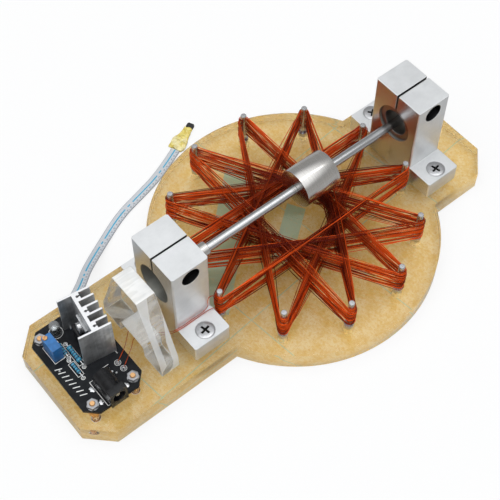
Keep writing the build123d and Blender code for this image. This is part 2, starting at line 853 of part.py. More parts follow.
def resistor_leads(name):
    """Both wire ends, bent down through the board."""
    _, _, length, diameter, span = resistors[name]
    rise = resistor_lift + diameter / 2
    down = -rise - board_thickness - lead_below_board
    wires = []
    for side in (-1, 1):
        points = [(0, side * length / 2, 0), (0, side * span / 2, 0), (0, side * span / 2, down)]
        path = FilletPolyline(*points, radius=resistor_lead_radius)
        wires.append(tube(path, resistor_lead_diameter))
    dx, dy, _, _, _ = resistors[name]
    x, y = board_spot(dx, dy)
    return Pos(x, y, board_top + rise) * together(wires)


def resistor_lead_holes(name):
    """Where the wire ends pass through the board."""
    dx, dy, _, _, span = resistors[name]
    low = board_top - board_thickness
    return together([hexagon(resistor_lead_diameter, low, board_top, *board_spot(dx, dy + s * span / 2))
                     for s in (-1, 1)])


def jack_place():
    """Frame of the socket: origin on the board at its open end, Y into the socket."""
    x, y = board_spot(jack_x, jack_y)
    return Pos(x, y - jack_length / 2, board_top)


def dc_jack():
    """Power socket: square collar, rounded barrel and a blind bore."""
    barrel_r = jack_width / 2
    face = Pos(0, (jack_barrel_height - barrel_r) / 2) * Rectangle(
        jack_width, jack_barrel_height - barrel_r)
    face += Pos(0, jack_barrel_height - barrel_r) * Circle(barrel_r)
    body = extrude(Plane.XZ * face, -jack_length)
    collar = Box(jack_width, jack_collar, jack_height, align=(Align.CENTER, Align.MIN, Align.MIN))
    collar = fillet(collar.edges().filter_by(Axis.Y).sort_by(Axis.Z)[-2:], jack_edge_radius)
    body += collar
    bore = Cylinder(jack_bore / 2, jack_bore_depth, align=(Align.CENTER, Align.CENTER, Align.MIN))
    return jack_place() * (body - Pos(0, 0, jack_axis_height) * Rot(-90, 0, 0) * bore)


def dc_jack_pin():
    """Centre contact of the socket."""
    length = jack_bore_depth - jack_pin_setback
    pin = Cylinder(jack_pin_diameter / 2, length, align=(Align.CENTER, Align.CENTER, Align.MIN))
    return jack_place() * Pos(0, jack_pin_setback, jack_axis_height) * Rot(-90, 0, 0) * pin


def jack_legs():
    """Three tails of the socket."""
    back = jack_y + jack_length / 2
    spots = [(jack_x, back - 0.8), (jack_x, back - 6.8), (jack_x + 3.6, back - 3.8)]
    return square_legs(spots)


def solder_joint(pad):
    """Low dome where a coil lead is soldered to the board."""
    x, y = board_spot(*pad)
    r = solder_diameter / 2
    profile = [(r, 0), (0.85 * r, 0.45 * solder_height), (0.4 * r, solder_height)]
    return Pos(0, 0, board_top) * tapered(profile, x, y)


# ---- all pieces --------------------------------------------------------------------------
def fixed_pieces():
    """Base, pins, winding, stop and supports."""
    left, right = support_spots()
    pieces = {"masking_paper": masking_paper(), "base_plate": base_plate(), "end_stop": end_stop()}
    for k, (x, y) in enumerate(pin_spots(), start=1):
        pieces[f"coil_pin_{k:02d}"] = coil_pin(x, y)
    pieces["star_coil"] = star_coil()
    pieces["left_support"] = Pos(left, 0, 0) * support()
    pieces["right_support"] = Pos(right, 0, 0) * support()
    spots = foot_screw_spots(left) + foot_screw_spots(right)
    pieces["support_screws"] = together([foot_screw(x, y) for x, y in spots])
    pieces["clamp_screws"] = together([Pos(x, 0, 0) * clamp_screw() for x in (left, right)])
    pieces["stator_rings"] = stator_rings()
    return pieces


def rotor_pieces():
    """Everything that spins."""
    return {"shaft": shaft(), "rotor_magnet": rotor_magnet(), "shaft_rings": shaft_rings()}


def board_pieces():
    """The circuit board and what it carries."""
    pieces = {
        "circuit_board": circuit_board(), "board_screws": board_screws(),
        "board_standoffs": board_standoffs(), "board_nuts": board_nuts(),
        "heat_sink": heat_sink(), "transistor_tab": transistor_tab(),
        "transistor_body": transistor_body(), "transistor_legs": transistor_legs(),
        "transistor_screw": transistor_screw(),
        "trimmer_body": trimmer_body(), "trimmer_legs": trimmer_legs(),
        "trimmer_screw": trimmer_screw(), "led": led(), "led_legs": led_legs(),
        "dc_jack": dc_jack(), "dc_jack_pin": dc_jack_pin(), "dc_jack_tails": jack_legs(),
        "solder_joints": together([solder_joint(lead_pad_1), solder_joint(lead_pad_2)]),
    }
    for name in resistors:
        pieces[name] = resistor_body(name)
        pieces[f"{name}_leads"] = resistor_leads(name)
    return pieces


def cord_pieces():
    """Coil leads and the sensor cable with what is on its end."""
    points, _ = star_corners()
    cable, path = ribbon()
    place = sensor_end(path)
    return {
        "coil_lead_1": coil_lead("coil_lead_1", lead_1_route, points[-1], lead_pad_1),
        "coil_lead_2": coil_lead("coil_lead_2", lead_2_route, points[0], lead_pad_2),
        "sensor_cable": cable,
        "sensor_tape": sensor_tape(place),
        "hall_sensor": hall_sensor(place),
    }


def main():
    os.makedirs("parts", exist_ok=True)
    pieces = {**fixed_pieces(), **rotor_pieces(), **board_pieces(), **cord_pieces()}
    for name, piece in pieces.items():
        export_step(piece, f"parts/{name}.step")
    path = star_path()
    print("winding", star_passes * pin_count, "chords, wire length", round(path.length),
          "least gap to itself", round(least_self_gap(path, wire_diameter), 3))


main()
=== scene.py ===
"""Looks of a demonstration electric motor: clear plate, star winding, floating rotor and driver board.

Run as a script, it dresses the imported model.  Metres, in the model's own frame: X runs along the
shaft, away from the circuit board, and Z up.
"""
import json
import math
import random

import bmesh
import bpy
from mathutils import Matrix, Vector, noise

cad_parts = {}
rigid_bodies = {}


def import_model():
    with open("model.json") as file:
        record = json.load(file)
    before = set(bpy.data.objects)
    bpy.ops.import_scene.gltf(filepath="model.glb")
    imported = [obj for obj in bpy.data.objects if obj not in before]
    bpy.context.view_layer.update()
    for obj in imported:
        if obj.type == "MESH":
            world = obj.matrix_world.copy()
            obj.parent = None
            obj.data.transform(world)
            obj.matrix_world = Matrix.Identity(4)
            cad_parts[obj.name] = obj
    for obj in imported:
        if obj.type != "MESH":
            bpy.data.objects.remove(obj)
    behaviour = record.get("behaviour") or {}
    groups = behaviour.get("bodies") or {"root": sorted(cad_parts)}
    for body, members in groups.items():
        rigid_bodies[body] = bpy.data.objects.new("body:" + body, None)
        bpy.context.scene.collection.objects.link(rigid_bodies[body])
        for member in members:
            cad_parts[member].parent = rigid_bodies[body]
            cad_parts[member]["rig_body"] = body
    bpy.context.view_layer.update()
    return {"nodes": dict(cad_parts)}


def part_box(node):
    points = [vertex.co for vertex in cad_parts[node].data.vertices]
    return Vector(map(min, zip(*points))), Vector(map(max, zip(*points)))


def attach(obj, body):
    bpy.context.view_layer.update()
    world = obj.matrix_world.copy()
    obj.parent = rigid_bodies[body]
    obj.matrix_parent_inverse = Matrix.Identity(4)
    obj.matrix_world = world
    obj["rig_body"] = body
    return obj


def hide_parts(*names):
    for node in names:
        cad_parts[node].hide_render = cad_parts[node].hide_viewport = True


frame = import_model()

bl_info = {
    "name": "Demonstration electric motor",
    "version": (1, 0, 0),
    "blender": (4, 5, 0),
    "location": "View3D > Sidebar > Motor",
    "description": "Models and finishes the pieces of a demonstration electric motor",
    "category": "Object",
}

MM = 0.001
PLATE_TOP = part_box("base_plate")[1].z
AXIS_Z = sum(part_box("shaft")[i].z for i in (0, 1)) / 2
COIL_PINS = [f"coil_pin_{k:02d}" for k in range(1, 13)]

# In millimetres, as are the profiles and places below
PIN_RADIUS = 1.5                # of a coil pin
ROTOR_BORE = 2.25               # radius of the magnets' bores on the shaft
BLOCK_SIDE = 15.0               # from the shaft's axis to the side of a clamp block
SLIT_SIDE = 0.5                 # and to the side of its saw slit
SLIT_LOW, SLIT_HIGH = -6.0, 5.9     # the length of the slit's painted shade, from the clamp screw's height
SCREW_BORE_RIM = 4.9            # radius of the eased rim of a clamp screw's bore, out to which its painted shade reaches
SKIN = 0.07                     # how far a painted mask stops short of a face, or passes it
LAMP_RADIUS = 2.5
WIRE_SIDES = 4                  # sides of the winding's wire, which a plain bevel of a curve gives


# ---- shader expressions --------------------------------------------------------------------
def maths(operation, swapped=False):
    """A method of Signal that adds a Math node; swapped, the signal is its second value."""
    def act(signal, other=0.0):
        values = {0: other, 1: signal} if swapped else {0: signal, 1: other}
        return signal.finish.node("ShaderNodeMath", {"operation": operation}, values)
    return act


class Signal:
    """A socket in an expression: sums, products and powers add their Math nodes."""

    def __init__(self, finish, socket):
        self.finish, self.socket = finish, socket

    __add__ = maths("ADD")
    __radd__ = maths("ADD", swapped=True)
    __sub__ = maths("SUBTRACT")
    __rsub__ = maths("SUBTRACT", swapped=True)
    __mul__ = maths("MULTIPLY")
    __rmul__ = maths("MULTIPLY", swapped=True)
    __pow__ = maths("POWER")
    __gt__ = maths("GREATER_THAN")
    __lt__ = maths("LESS_THAN")
    __mod__ = maths("FLOORED_MODULO")
    __abs__ = maths("ABSOLUTE")
    root = maths("SQRT")
    wave = maths("SINE")
    least = maths("MINIMUM")
    most = maths("MAXIMUM")

    def ease(self, low, high):
        """0 below low, 1 above high and a smooth step between."""
        return self.finish.node(
            "ShaderNodeMapRange", {"interpolation_type": "SMOOTHSTEP", "clamp": True},
            {"Value": self, "From Min": low, "From Max": high})


class Finish:
    """The nodes of a new material, or of the world that is given."""

    def __init__(self, name, world=None):
        self.material = world or bpy.data.materials.new(name)
        self.material.use_nodes = True
        self.tree = self.material.node_tree
        self.tree.nodes.clear()
        self.places = {}

    def node(self, kind, settings=None, inputs=None, out=0):
        """Adds a node, makes its settings, then fills its sockets with values or links."""
        made = self.tree.nodes.new(kind)
        for key, value in (settings or {}).items():
            setattr(made, key, value)
        for key, value in (inputs or {}).items():
            self.fill(made.inputs[key], value)
        return Signal(self, made.outputs[out]) if len(made.outputs) else None

    def fill(self, socket, value):
        if isinstance(value, Signal):
            self.tree.links.new(value.socket, socket)
        elif isinstance(value, (tuple, list)) and socket.type == "RGBA":
            socket.default_value = (*value[:3], 1.0)
        else:
            socket.default_value = value

    def place(self, part=None):
        """Object coordinates in millimetres, whole or one axis of them."""
        if part not in self.places:
            if part is None:
                raw = self.node("ShaderNodeTexCoord", out="Object")
                made = self.node("ShaderNodeVectorMath", {"operation": "SCALE"}, {0: raw, "Scale": 1 / MM})
            else:
                made = self.node("ShaderNodeSeparateXYZ", None, {0: self.place()}, out=part)
            self.places[part] = made
        return self.places[part]

    def facing(self, axis):
        """How far the surface faces along an axis, from -1 to 1."""
        normal = self.node("ShaderNodeNewGeometry", out="Normal")
        return self.node("ShaderNodeSeparateXYZ", None, {0: normal}, out=axis)

    def stretched(self, x, y, z):
        """Millimetre coordinates scaled along each axis."""
        return self.node("ShaderNodeVectorMath", {"operation": "MULTIPLY"}, {0: self.place(), 1: (x, y, z)})

    def cloud(self, scale, detail=3.0, rough=0.55, vector=None):
        """Noise, its scale in waves to the millimetre."""
        return self.node("ShaderNodeTexNoise", None, {
            "Vector": vector or self.place(), "Scale": scale, "Detail": detail, "Roughness": rough})

    def blend(self, mask, low, high):
        """Colour that goes from low to high with the mask."""
        return self.node("ShaderNodeMix", {"data_type": "RGBA"}, {0: mask, 6: low, 7: high}, out=2)

    def relief(self, height, depth, strength):
        """Bump of the given depth in metres."""
        return self.node("ShaderNodeBump", None, {"Height": height, "Distance": depth, "Strength": strength})

    def surface(self, **sockets):
        """Ends the material in a Principled BSDF with the named sockets."""
        names = {"base": "Base Color", "rough": "Roughness", "metal": "Metallic", "normal": "Normal",
                 "coat": "Coat Weight", "specular": "Specular IOR Level", "clear": "Transmission Weight",
                 "ior": "IOR"}
        shader = self.node("ShaderNodeBsdfPrincipled", None, {names[k]: v for k, v in sockets.items()})
        self.node("ShaderNodeOutputMaterial", None, {"Surface": shader})
        return self.material


# ---- finishes ------------------------------------------------------------------------------
def kraft_paper(tan, golden, green):
    """Mottled masking paper with pale printed bands and thin lines."""
    f = Finish("kraft_paper")
    x, y = f.place("X"), f.place("Y")
    mottle = f.cloud(0.13, 6.0, 0.7)
    fibre = f.cloud(0.9, 5.0, 0.75, f.stretched(1.0, 0.6, 1.0))
    colour = f.blend((mottle * 0.6 + fibre * 0.5).ease(0.44, 0.66), golden, tan)
    specks = f.cloud(0.9, 4.0, 0.7).ease(0.52, 0.66)
    colour = f.blend(specks * 0.6, colour, tuple(c * k for c, k in zip(golden, (0.92, 0.78, 0.55))))
    along, across = x * 0.87 + y * 0.5, y * 0.87 - x * 0.5      # turned by 30 degrees
    wide = (abs(across - 33.0 - along * 0.22) < 8.0) * (abs(along + 14.0) < 42.0)
    narrow = (abs(across - along * 0.12 - 2.0) < 5.0) * (abs(along + 1.0) < 17.0)
    lines = (abs((x + y * 0.12 + 22.0) % 58.0 - 29.0) < 0.26).most(
        abs((y - x * 0.10 + 47.0) % 52.0 - 26.0) < 0.26)
    ink = f.cloud(0.55, 4.0, 0.6).ease(0.26, 0.46)
    mask = wide.most(narrow).most(lines * 0.8) * (ink * 0.5 + 0.5)
    colour = f.blend(mask * 0.9, colour, green)
    return f.surface(base=colour, rough=0.8, normal=f.relief(fibre, 0.00005, 0.5))


def clear_acrylic():
    """Clear cast sheet: polished faces, sawn and flamed edges."""
    f = Finish("clear_acrylic")
    rim = abs(f.facing("Z")) < 0.5
    rub = f.cloud(0.05, 4.0, 0.7).ease(0.5, 0.9)
    fine = f.cloud(6.0, 2.0, 0.5, f.stretched(1.0, 0.08, 1.0))
    saw = f.cloud(0.5, 3.0, 0.6, f.stretched(1.0, 1.0, 0.12))
    return f.surface(base=(0.995, 0.993, 0.985), rough=rub * 0.02 + rim * 0.06, clear=1.0, ior=1.49,
                     normal=f.relief(fine * 0.02 + rim * saw, 0.00012, 0.3))


def see_through(name, edges, faces, corners, streaks, tint, axis="X"):
    """Clear block seen through: sheer faces square to the axis, sawn edges, and corners painted pale as a
    highlight.

    The numbers say how pale the edges, faces and painted corner highlights are, from 0 to 1; sawn edges that
    face up get a further painted highlight.
    """
    f = Finish(name)
    facing = abs(f.facing(axis))
    edge = facing < 0.5
    # painted highlight: the eased corners between the faces are made pale
    corner = (facing > 0.08) * (facing < 0.985)
    saw = f.cloud(1.0, 2.0, 0.5, f.stretched(*streaks)).ease(0.46, 0.60)
    blotch = f.cloud(0.085, 2.0, 0.5).ease(0.44, 0.56)
    # painted highlight: sawn edges that face up are made much paler
    up = f.facing("Z").ease(0.6, 0.95)
    pale = edge * ((saw * 0.16 + blotch * 0.5 + 0.05) * edges + up * 0.72).least(0.85)
    pale = pale.most((1.0 - edge) * (blotch * 0.7 + 0.3) * faces).most(corner * corners)
    rim = f.node("ShaderNodeFresnel", None, {"IOR": 1.45})
    sheer = f.node("ShaderNodeBsdfTransparent", None, {"Color": tint})
    gloss = f.node("ShaderNodeBsdfPrincipled", None, {
        "Base Color": f.blend(saw * 0.4 + blotch * 0.6, (0.92, 0.93, 0.92), (1.0, 1.0, 0.99)),
        "Roughness": 0.1, "Coat Weight": 1.0, "Normal": f.relief(blotch, 0.0001, 0.3)})
    mixed = f.node("ShaderNodeMixShader", None, {0: (pale + rim * 0.4).least(1.0), 1: sheer, 2: gloss})
    f.node("ShaderNodeOutputMaterial", None, {"Surface": mixed})
    return f.material


def blasted_aluminium(screw_x, screw_z, axis_z, bore_radius):
    """Bead-blasted aluminium: smoother on the milled ends, with shade painted dark in the bores and the slit.
    """
    f = Finish("blasted_aluminium")
    grain = f.cloud(5.0, 3.0, 0.6)
    patch = f.cloud(0.10, 4.0, 0.6)
    x, y, z = f.place("X"), f.place("Y"), f.place("Z")
    # painted shade: near black inside the clamp screws' bores
    screw_bore_shade = ((abs(x) - screw_x) ** 2.0 + (z - screw_z) ** 2.0).root() < SCREW_BORE_RIM
    screw_bore_shade = screw_bore_shade * (abs(y) < BLOCK_SIDE - SKIN)
    # painted shade: dark along the saw slit
    slit = (abs(y) < SLIT_SIDE + SKIN) * (z > screw_z + SLIT_LOW) * (z < screw_z + SLIT_HIGH)
    # painted shade: darker on the walls of the magnets' bores
    bore_shade = (y * y + (z - axis_z) ** 2.0).root() < bore_radius + 0.25
    milled = abs(f.facing("X")) > 0.9
    mottle = (grain * 0.4 + patch * 0.6).ease(0.36, 0.64)
    colour = f.blend(mottle, (0.72, 0.73, 0.735), (0.82, 0.83, 0.835))
    for mask, tone in ((milled * 0.5, (0.60, 0.60, 0.60)), (bore_shade, (0.26, 0.26, 0.235)),
                       (slit, (0.10, 0.10, 0.10)), (screw_bore_shade, (0.012, 0.012, 0.013))):
        colour = f.blend(mask, colour, tone)
    return f.surface(base=colour, metal=milled * 0.3 + 0.7, rough=grain * 0.12 + 0.36 - milled * 0.14,
                     normal=f.relief(grain, 0.00004, 0.5))


def turned_metal(name, colour, rough, pitch, depth):
    """Turned or ground metal: fine rings round the shaft's axis, and long soft streaks."""
    f = Finish(name)
    rings = f.cloud(1.0, 4.0, 0.75, f.stretched(pitch, 0.05, 0.05))
    wear = f.cloud(0.25, 4.0, 0.6)
    mask = (rings * 0.7 + wear * 0.3).ease(0.35, 0.65) * depth
    base = f.blend(mask, colour, tuple(c * 0.5 for c in colour))
    return f.surface(base=base, metal=1.0, rough=rough + rings * 0.1 + wear * 0.06,
                     normal=f.relief(rings, 0.00001, 0.35))


def plated(name, colour, rough=0.18, shade_below=None):
    """Plated or plain metal with slight handling marks; below the given height, if one is given, shade is
    painted near black, as in a screw's recess.
    """
    f = Finish(name)
    marks = f.cloud(1.6, 4.0, 0.6)
    base = f.blend(marks.ease(0.35, 0.75) * 0.6, colour, tuple(c * 0.62 for c in colour))
    if shade_below:
        # painted shade: near black below the given height
        base = f.blend(f.place("Z") < shade_below, base, (0.03, 0.028, 0.026))
    return f.surface(base=base, metal=1.0, rough=rough + marks * 0.14, normal=f.relief(marks, 0.00001, 0.25))


def enamelled_wire(bright, dark):
    """Red-orange lacquer over copper: each strand has its own tone, and the crowded middle is darkened as
    painted shade.
    """
    f = Finish("enamelled_wire")
    tone = f.node("ShaderNodeAttribute", {"attribute_name": "tone"}, out="Fac")
    streak = f.cloud(0.30, 2.0, 0.5)
    x, y = f.place("X"), f.place("Y")
    # painted shade: the strands darken towards the star's middle, down to half at its centre
    away = (x * x + y * y).root().ease(12.0, 54.0)
    shade = (tone * 0.95 + streak * 0.3 - 0.06) * (away * 0.5 + 0.5)
    base = f.blend(shade.ease(0.16, 0.78), dark, bright)
    return f.surface(base=base, metal=0.75, rough=0.3)


def anodised(bottom, top, colour):
    """Dark anodised extrusion whose sawn ends are bare."""
    f = Finish("black_anodised")
    z = f.place("Z")
    ends = (z > top - 2 * SKIN).most(z < bottom + 0.1)
    die = f.cloud(1.0, 3.0, 0.6, f.stretched(2.2, 2.2, 0.05))
    saw = f.cloud(1.0, 2.0, 0.5, f.stretched(0.6, 9.0, 1.0))
    smear = f.cloud(0.14, 3.0, 0.6)
    dark = f.blend((die * 0.25 + smear * 0.75).ease(0.38, 0.62), colour, tuple(c * 1.6 for c in colour))
    bare = f.blend(saw.ease(0.3, 0.7), (0.82, 0.82, 0.83), (0.95, 0.95, 0.95))
    return f.surface(base=f.blend(ends, dark, bare), metal=0.9 - ends * 0.35, rough=0.42 - ends * 0.08,
                     normal=f.relief(die, 0.00001, 0.25))


def moulded(name, colour, rough=0.4, grain=5.0, coat=0.0, specular=0.5):
    """Moulded plastic with a fine spark texture."""
    f = Finish(name)
    fine = f.cloud(grain, 3.0, 0.6)
    haze = f.cloud(0.4, 2.0, 0.5)
    base = f.blend(haze.ease(0.35, 0.7), colour, tuple(min(1.0, c * 1.3 + 0.004) for c in colour))
    return f.surface(base=base, rough=rough + fine * 0.1, coat=coat, specular=specular,
                     normal=f.relief(fine, 0.00001, 0.5))


def banded_lacquer(body, band):
    """Lacquer of a resistor with dark bands round it."""
    f = Finish("resistor_blue")
    along = f.node("ShaderNodeAttribute", {"attribute_name": "along"}, out="Fac")
    bands = (abs((along + 0.7) % 1.4 - 0.7) < 0.26) * (abs(along) < 3.0)
    tint = f.cloud(0.9, 2.0)
    lacquer = f.blend(tint.ease(0.3, 0.7), body, tuple(c * 0.7 for c in body))
    return f.surface(base=f.blend(bands, lacquer, band), rough=0.22 + tint * 0.06, coat=0.4)


def dashed_ribbon(sheath, blue, grey):
    """Milky cable sheath: blue dashes on its middle, rows of grey dots on one half, ribs along it."""
    f = Finish("ribbon_insulation")
    along = f.node("ShaderNodeAttribute", {"attribute_name": "along"}, out="Fac")
    across = f.node("ShaderNodeAttribute", {"attribute_name": "across"}, out="Fac")
    beat = (along + 21.0) % 26.5        # a long dash and a short one
    dashes = (beat < 20.5).most(abs(beat - 23.4) < 1.0) * (abs(across + 0.05) < 0.15)
    dots = (abs(along % 2.6 - 1.3) < 0.5) * (abs(across - 0.48) < 0.11)
    pips = (abs(along % 1.5 - 0.75) < 0.34) * (abs(across - 0.78) < 0.07)
    weave = (along * 4.4).wave() * (across * 16.0).wave()
    ribs = (across * 21.0).wave()
    rim = abs(across).ease(0.80, 0.95)
    tone = (weave * 0.20 + ribs * 0.2 + 0.5).ease(0.0, 1.0)
    base = f.blend(tone, tuple(c * 0.84 for c in sheath), sheath)
    base = f.blend(rim * 0.7, base, grey)
    base = f.blend(dots.most(pips) * 0.85, base, grey)
    base = f.blend(dashes, base, blue)
    return f.surface(base=base, rough=0.42, coat=0.12, normal=f.relief(ribs + weave * 0.5, 0.00005, 0.5))


def crumpled_film(light, deep):
    """Thin yellow film, folded and glossy."""
    f = Finish("yellow_tape")
    folds = f.node("ShaderNodeTexVoronoi", {"feature": "DISTANCE_TO_EDGE"},
                   {"Vector": f.place(), "Scale": 0.42})
    soft = f.cloud(0.5, 5.0, 0.65)
    pale = f.cloud(0.22, 2.0).ease(0.46, 0.62)
    base = f.blend((folds * 0.7 + soft * 0.5).ease(0.18, 0.5), deep, light)
    base = f.blend(pale * 0.5, base, (0.93, 0.88, 0.62))
    return f.surface(base=base, rough=0.2 + soft * 0.15, coat=0.6, normal=f.relief(folds + soft, 0.0005, 0.8))


# ---- piece helpers -------------------------------------------------------------------------
def collect(name, mesh, body, material):
    """Object of a finished mesh, on its body and finish; many-sided faces are flat."""
    piece = bpy.data.objects.new(name, mesh)
    bpy.context.scene.collection.objects.link(piece)
    mesh.materials.clear()
    mesh.materials.append(material)
    for face in mesh.polygons:
        face.use_smooth = len(face.vertices) < 5
    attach(piece, body)
    return piece


def to_mesh(bm, name):
    """Mesh of a bmesh, doubles merged, faces outwards."""
    bmesh.ops.remove_doubles(bm, verts=bm.verts, dist=1e-7)
    bmesh.ops.recalc_face_normals(bm, faces=bm.faces)
    mesh = bpy.data.meshes.new(name)
    bm.to_mesh(mesh)
    bm.free()
    return mesh


def body_of(node):
    return frame["nodes"][node]["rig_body"]


def middle_of(node):
    """Centre of a node's box, in millimetres."""
    low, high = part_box(node)
    return (low + high) / 2 / MM


def top_of(node):
    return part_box(node)[1].z / MM


def merged_copy(node):
    """The node's own mesh with its loose triangles merged and flat faces joined."""
    bm = bmesh.new()
    bm.from_mesh(frame["nodes"][node].data)
    bmesh.ops.remove_doubles(bm, verts=bm.verts, dist=2e-6)
    bmesh.ops.dissolve_limit(bm, angle_limit=math.radians(1.0), verts=bm.verts, edges=bm.edges)
    return bm


def eased(piece, width, segments):
    """Rounds the piece's edges that are sharper than 30 degrees."""
    bevel = piece.modifiers.new("edges", "BEVEL")
    bevel.width, bevel.segments = width, segments
    bevel.limit_method, bevel.angle_limit = "ANGLE", math.radians(30.0)
    bevel.harden_normals = True
    bevel.use_clamp_overlap = True
    return piece


def refined(node, name, material, width, segments=2, change=None):
    """A node's shape with eased edges, standing for the node."""
    bm = merged_copy(node)
    if change:
        change(bm)
    piece = collect(name, to_mesh(bm, name), body_of(node), material)
    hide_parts(node)
    return eased(piece, width, segments)


def added(bm, name, material, body, sharp=35.0):
    """A new shape that no node stands for; edges sharper than the angle stay crisp."""
    mesh = to_mesh(bm, name)
    piece = collect(name, mesh, body, material)
    mesh.set_sharp_from_angle(angle=math.radians(sharp))
    return piece


def modelled(bm, name, material, *nodes, sharp=35.0):
    """A new shape that stands for the nodes."""
    piece = added(bm, name, material, body_of(nodes[0]), sharp)
    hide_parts(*nodes)
    return piece


def dress(material, *nodes):
    """Finish of nodes that keep their own mesh."""
    for node in nodes:
        mesh = frame["nodes"][node].data
        mesh.materials.clear()
        mesh.materials.append(material)


def lathe(bm, profile, place=(0, 0, 0), steps=32, stand=None):
    """Adds a turned shape: its (radius, height) corners in millimetres are spun round Z and put in place."""
    known = set(bm.verts)
    corners = [bm.verts.new((r * MM, 0, z * MM)) for r, z in profile]
    edges = [bm.edges.new(pair) for pair in zip(corners, corners[1:])]
    bmesh.ops.spin(bm, geom=corners + edges, cent=(0, 0, 0), axis=(0, 0, 1), angle=math.tau,
                   steps=steps, use_merge=True)
    bmesh.ops.remove_doubles(bm, verts=[v for v in bm.verts if v not in known], dist=1e-7)
    made = [v for v in bm.verts if v not in known]
    if stand:
        bmesh.ops.transform(bm, matrix=stand, verts=made)
    bmesh.ops.translate(bm, vec=Vector(place) * MM, verts=made)
    return made


def brick(bm, size, middle, turn=0.0, ease=0.0):
    """Adds a block of the given size about its middle, in millimetres, its edges eased."""
    known = set(bm.verts)
    made = bmesh.ops.create_cube(bm, size=1.0)["verts"]
    bmesh.ops.scale(bm, vec=Vector(size) * MM, verts=made)
    if ease:
        edges = list({edge for v in made for edge in v.link_edges})
        bmesh.ops.bevel(bm, geom=edges, offset=ease * MM, offset_type="OFFSET", segments=2, profile=0.5,
                        affect="EDGES", material=-1, clamp_overlap=True)
        made = [v for v in bm.verts if v not in known]
    bmesh.ops.rotate(bm, cent=(0, 0, 0), matrix=Matrix.Rotation(turn, 3, "Z"), verts=made)
    bmesh.ops.translate(bm, vec=Vector(middle) * MM, verts=made)
    return made


def linked(name, data):
    """Helper object of a mesh or curve, in the scene."""
    holder = bpy.data.objects.new(name, data)
    bpy.context.scene.collection.objects.link(holder)
    return holder


def applied(holder):
    """Mesh of a helper object with its modifiers or curve settings applied; the helper goes."""
    depsgraph = bpy.context.evaluated_depsgraph_get()
    mesh = bpy.data.meshes.new_from_object(holder.evaluated_get(depsgraph))
    bpy.data.objects.remove(holder)
    return mesh


def taken_up(mesh):
    """The mesh as a bmesh; the mesh goes."""
    bm = bmesh.new()
    bm.from_mesh(mesh)
    bpy.data.meshes.remove(mesh)
    return bm


def carved(bm, cutter):
    """The shape less the cutter."""
    whole, tool = (linked(n, to_mesh(b, n)) for n, b in (("whole", bm), ("tool", cutter)))
    cut = whole.modifiers.new("cut", "BOOLEAN")
    cut.operation, cut.solver, cut.object, cut.use_self = "DIFFERENCE", "EXACT", tool, True
    mesh = applied(whole)
    bpy.data.objects.remove(tool)
    return taken_up(mesh)


def line_through(name, kind, places):
    """A curve with one spline of the given kind, and that spline."""
    curve = bpy.data.curves.new(name, "CURVE")
    curve.dimensions = "3D"
    spline = curve.splines.new(kind)
    spline.points.add(len(places) - 1)
    for point, place in zip(spline.points, places):
        point.co = (*place, 1.0)
    return curve, spline


def curve_mesh(name, points, radius):
    """A wire of one thickness along the points."""
    curve, _ = line_through(name, "POLY", points)
    curve.twist_mode = "MINIMUM"
    curve.bevel_depth, curve.bevel_resolution, curve.use_fill_caps = radius, 0, True
    mesh = applied(linked(name + "_line", curve))
    bpy.data.curves.remove(curve)
    mesh.name = name
    return mesh


def route_points(name, route):
    """Points of a smooth line whose control points are the route."""
    curve, spline = line_through(name, "NURBS", route)
    curve.resolution_u = 16
    spline.order_u, spline.use_endpoint_u = 3, True
    mesh = applied(linked(name + "_route", curve))
    points = [v.co.copy() for v in mesh.vertices]
    bpy.data.curves.remove(curve)
    bpy.data.meshes.remove(mesh)
    return points


# ---- route of the flat cable, as in the part's source --------------------------------------
RIBBON_ROUTE = [Vector(p) * MM for p in (
    (-118.2, 24.2, 17.4), (-109.6, 30.0, 17.5), (-101.8, 36.4, 13.4), (-93.5, 45.2, 7.6),
    (-76.7, 57.1, 0.6), (-59.6, 65.6, 0.6), (-44.4, 69.4, 0.6), (-27.8, 73.9, 0.6),
    (-12.4, 81.4, 0.6))]


# ---- settings ------------------------------------------------------------------------------
def colour_setting(label, description, value):
    return bpy.props.FloatVectorProperty(name=label, description=description, default=value,
                                         size=3, min=0.0, max=1.0, subtype="COLOR")


def length_setting(label, description, value):
    return bpy.props.FloatProperty(name=label, description=description, default=value,
                                   min=0.0, unit="LENGTH")


class MotorSizes(bpy.types.PropertyGroup):
    strand_radius: length_setting("Strand radius", "Half the thickness of the winding's wire", 0.00019)
    winding_foot: length_setting("Winding foot", "Lowest strand above the plate", 0.0019)
    winding_height: length_setting("Winding height", "From the lowest strand to the highest", 0.0139)
    winding_passes: bpy.props.IntProperty(name="Passes", description="Times the wire goes round the star",
                                          default=46, min=1, max=120)
    edge_radius: length_setting("Edge radius", "Rounding of the blocks' edges", 0.0004)
    ribbon_width: length_setting("Ribbon width", "Width of the flat sensor cable", 0.005)
    ribbon_thickness: length_setting("Ribbon thickness", "Thickness of the flat sensor cable", 0.0009)


class MotorColours(bpy.types.PropertyGroup):
    paper: colour_setting("Paper", "Masking paper", (0.93, 0.72, 0.35))
    paper_golden: colour_setting("Paper, golden", "Deeper mottles of the paper", (0.86, 0.57, 0.16))
    print_green: colour_setting("Print", "Bands on the paper", (0.50, 0.66, 0.47))
    wire_bright: colour_setting("Wire, bright", "Lacquer of the brightest strands", (0.97, 0.12, 0.01))
    wire_dark: colour_setting("Wire, dark", "Lacquer of the darker strands", (0.12, 0.006, 0.001))
    heat_sink: colour_setting("Heat sink", "Anodised faces", (0.38, 0.385, 0.39))
    trimmer: colour_setting("Trimmer", "Blue housing", (0.015, 0.13, 0.36))
    resistor: colour_setting("Resistors", "Lacquer between the bands", (0.05, 0.33, 0.52))
    tape: colour_setting("Tape", "Yellow film", (0.86, 0.74, 0.21))


def sizes():
    return bpy.context.scene.motor_sizes


def colours():
    return bpy.context.scene.motor_colours


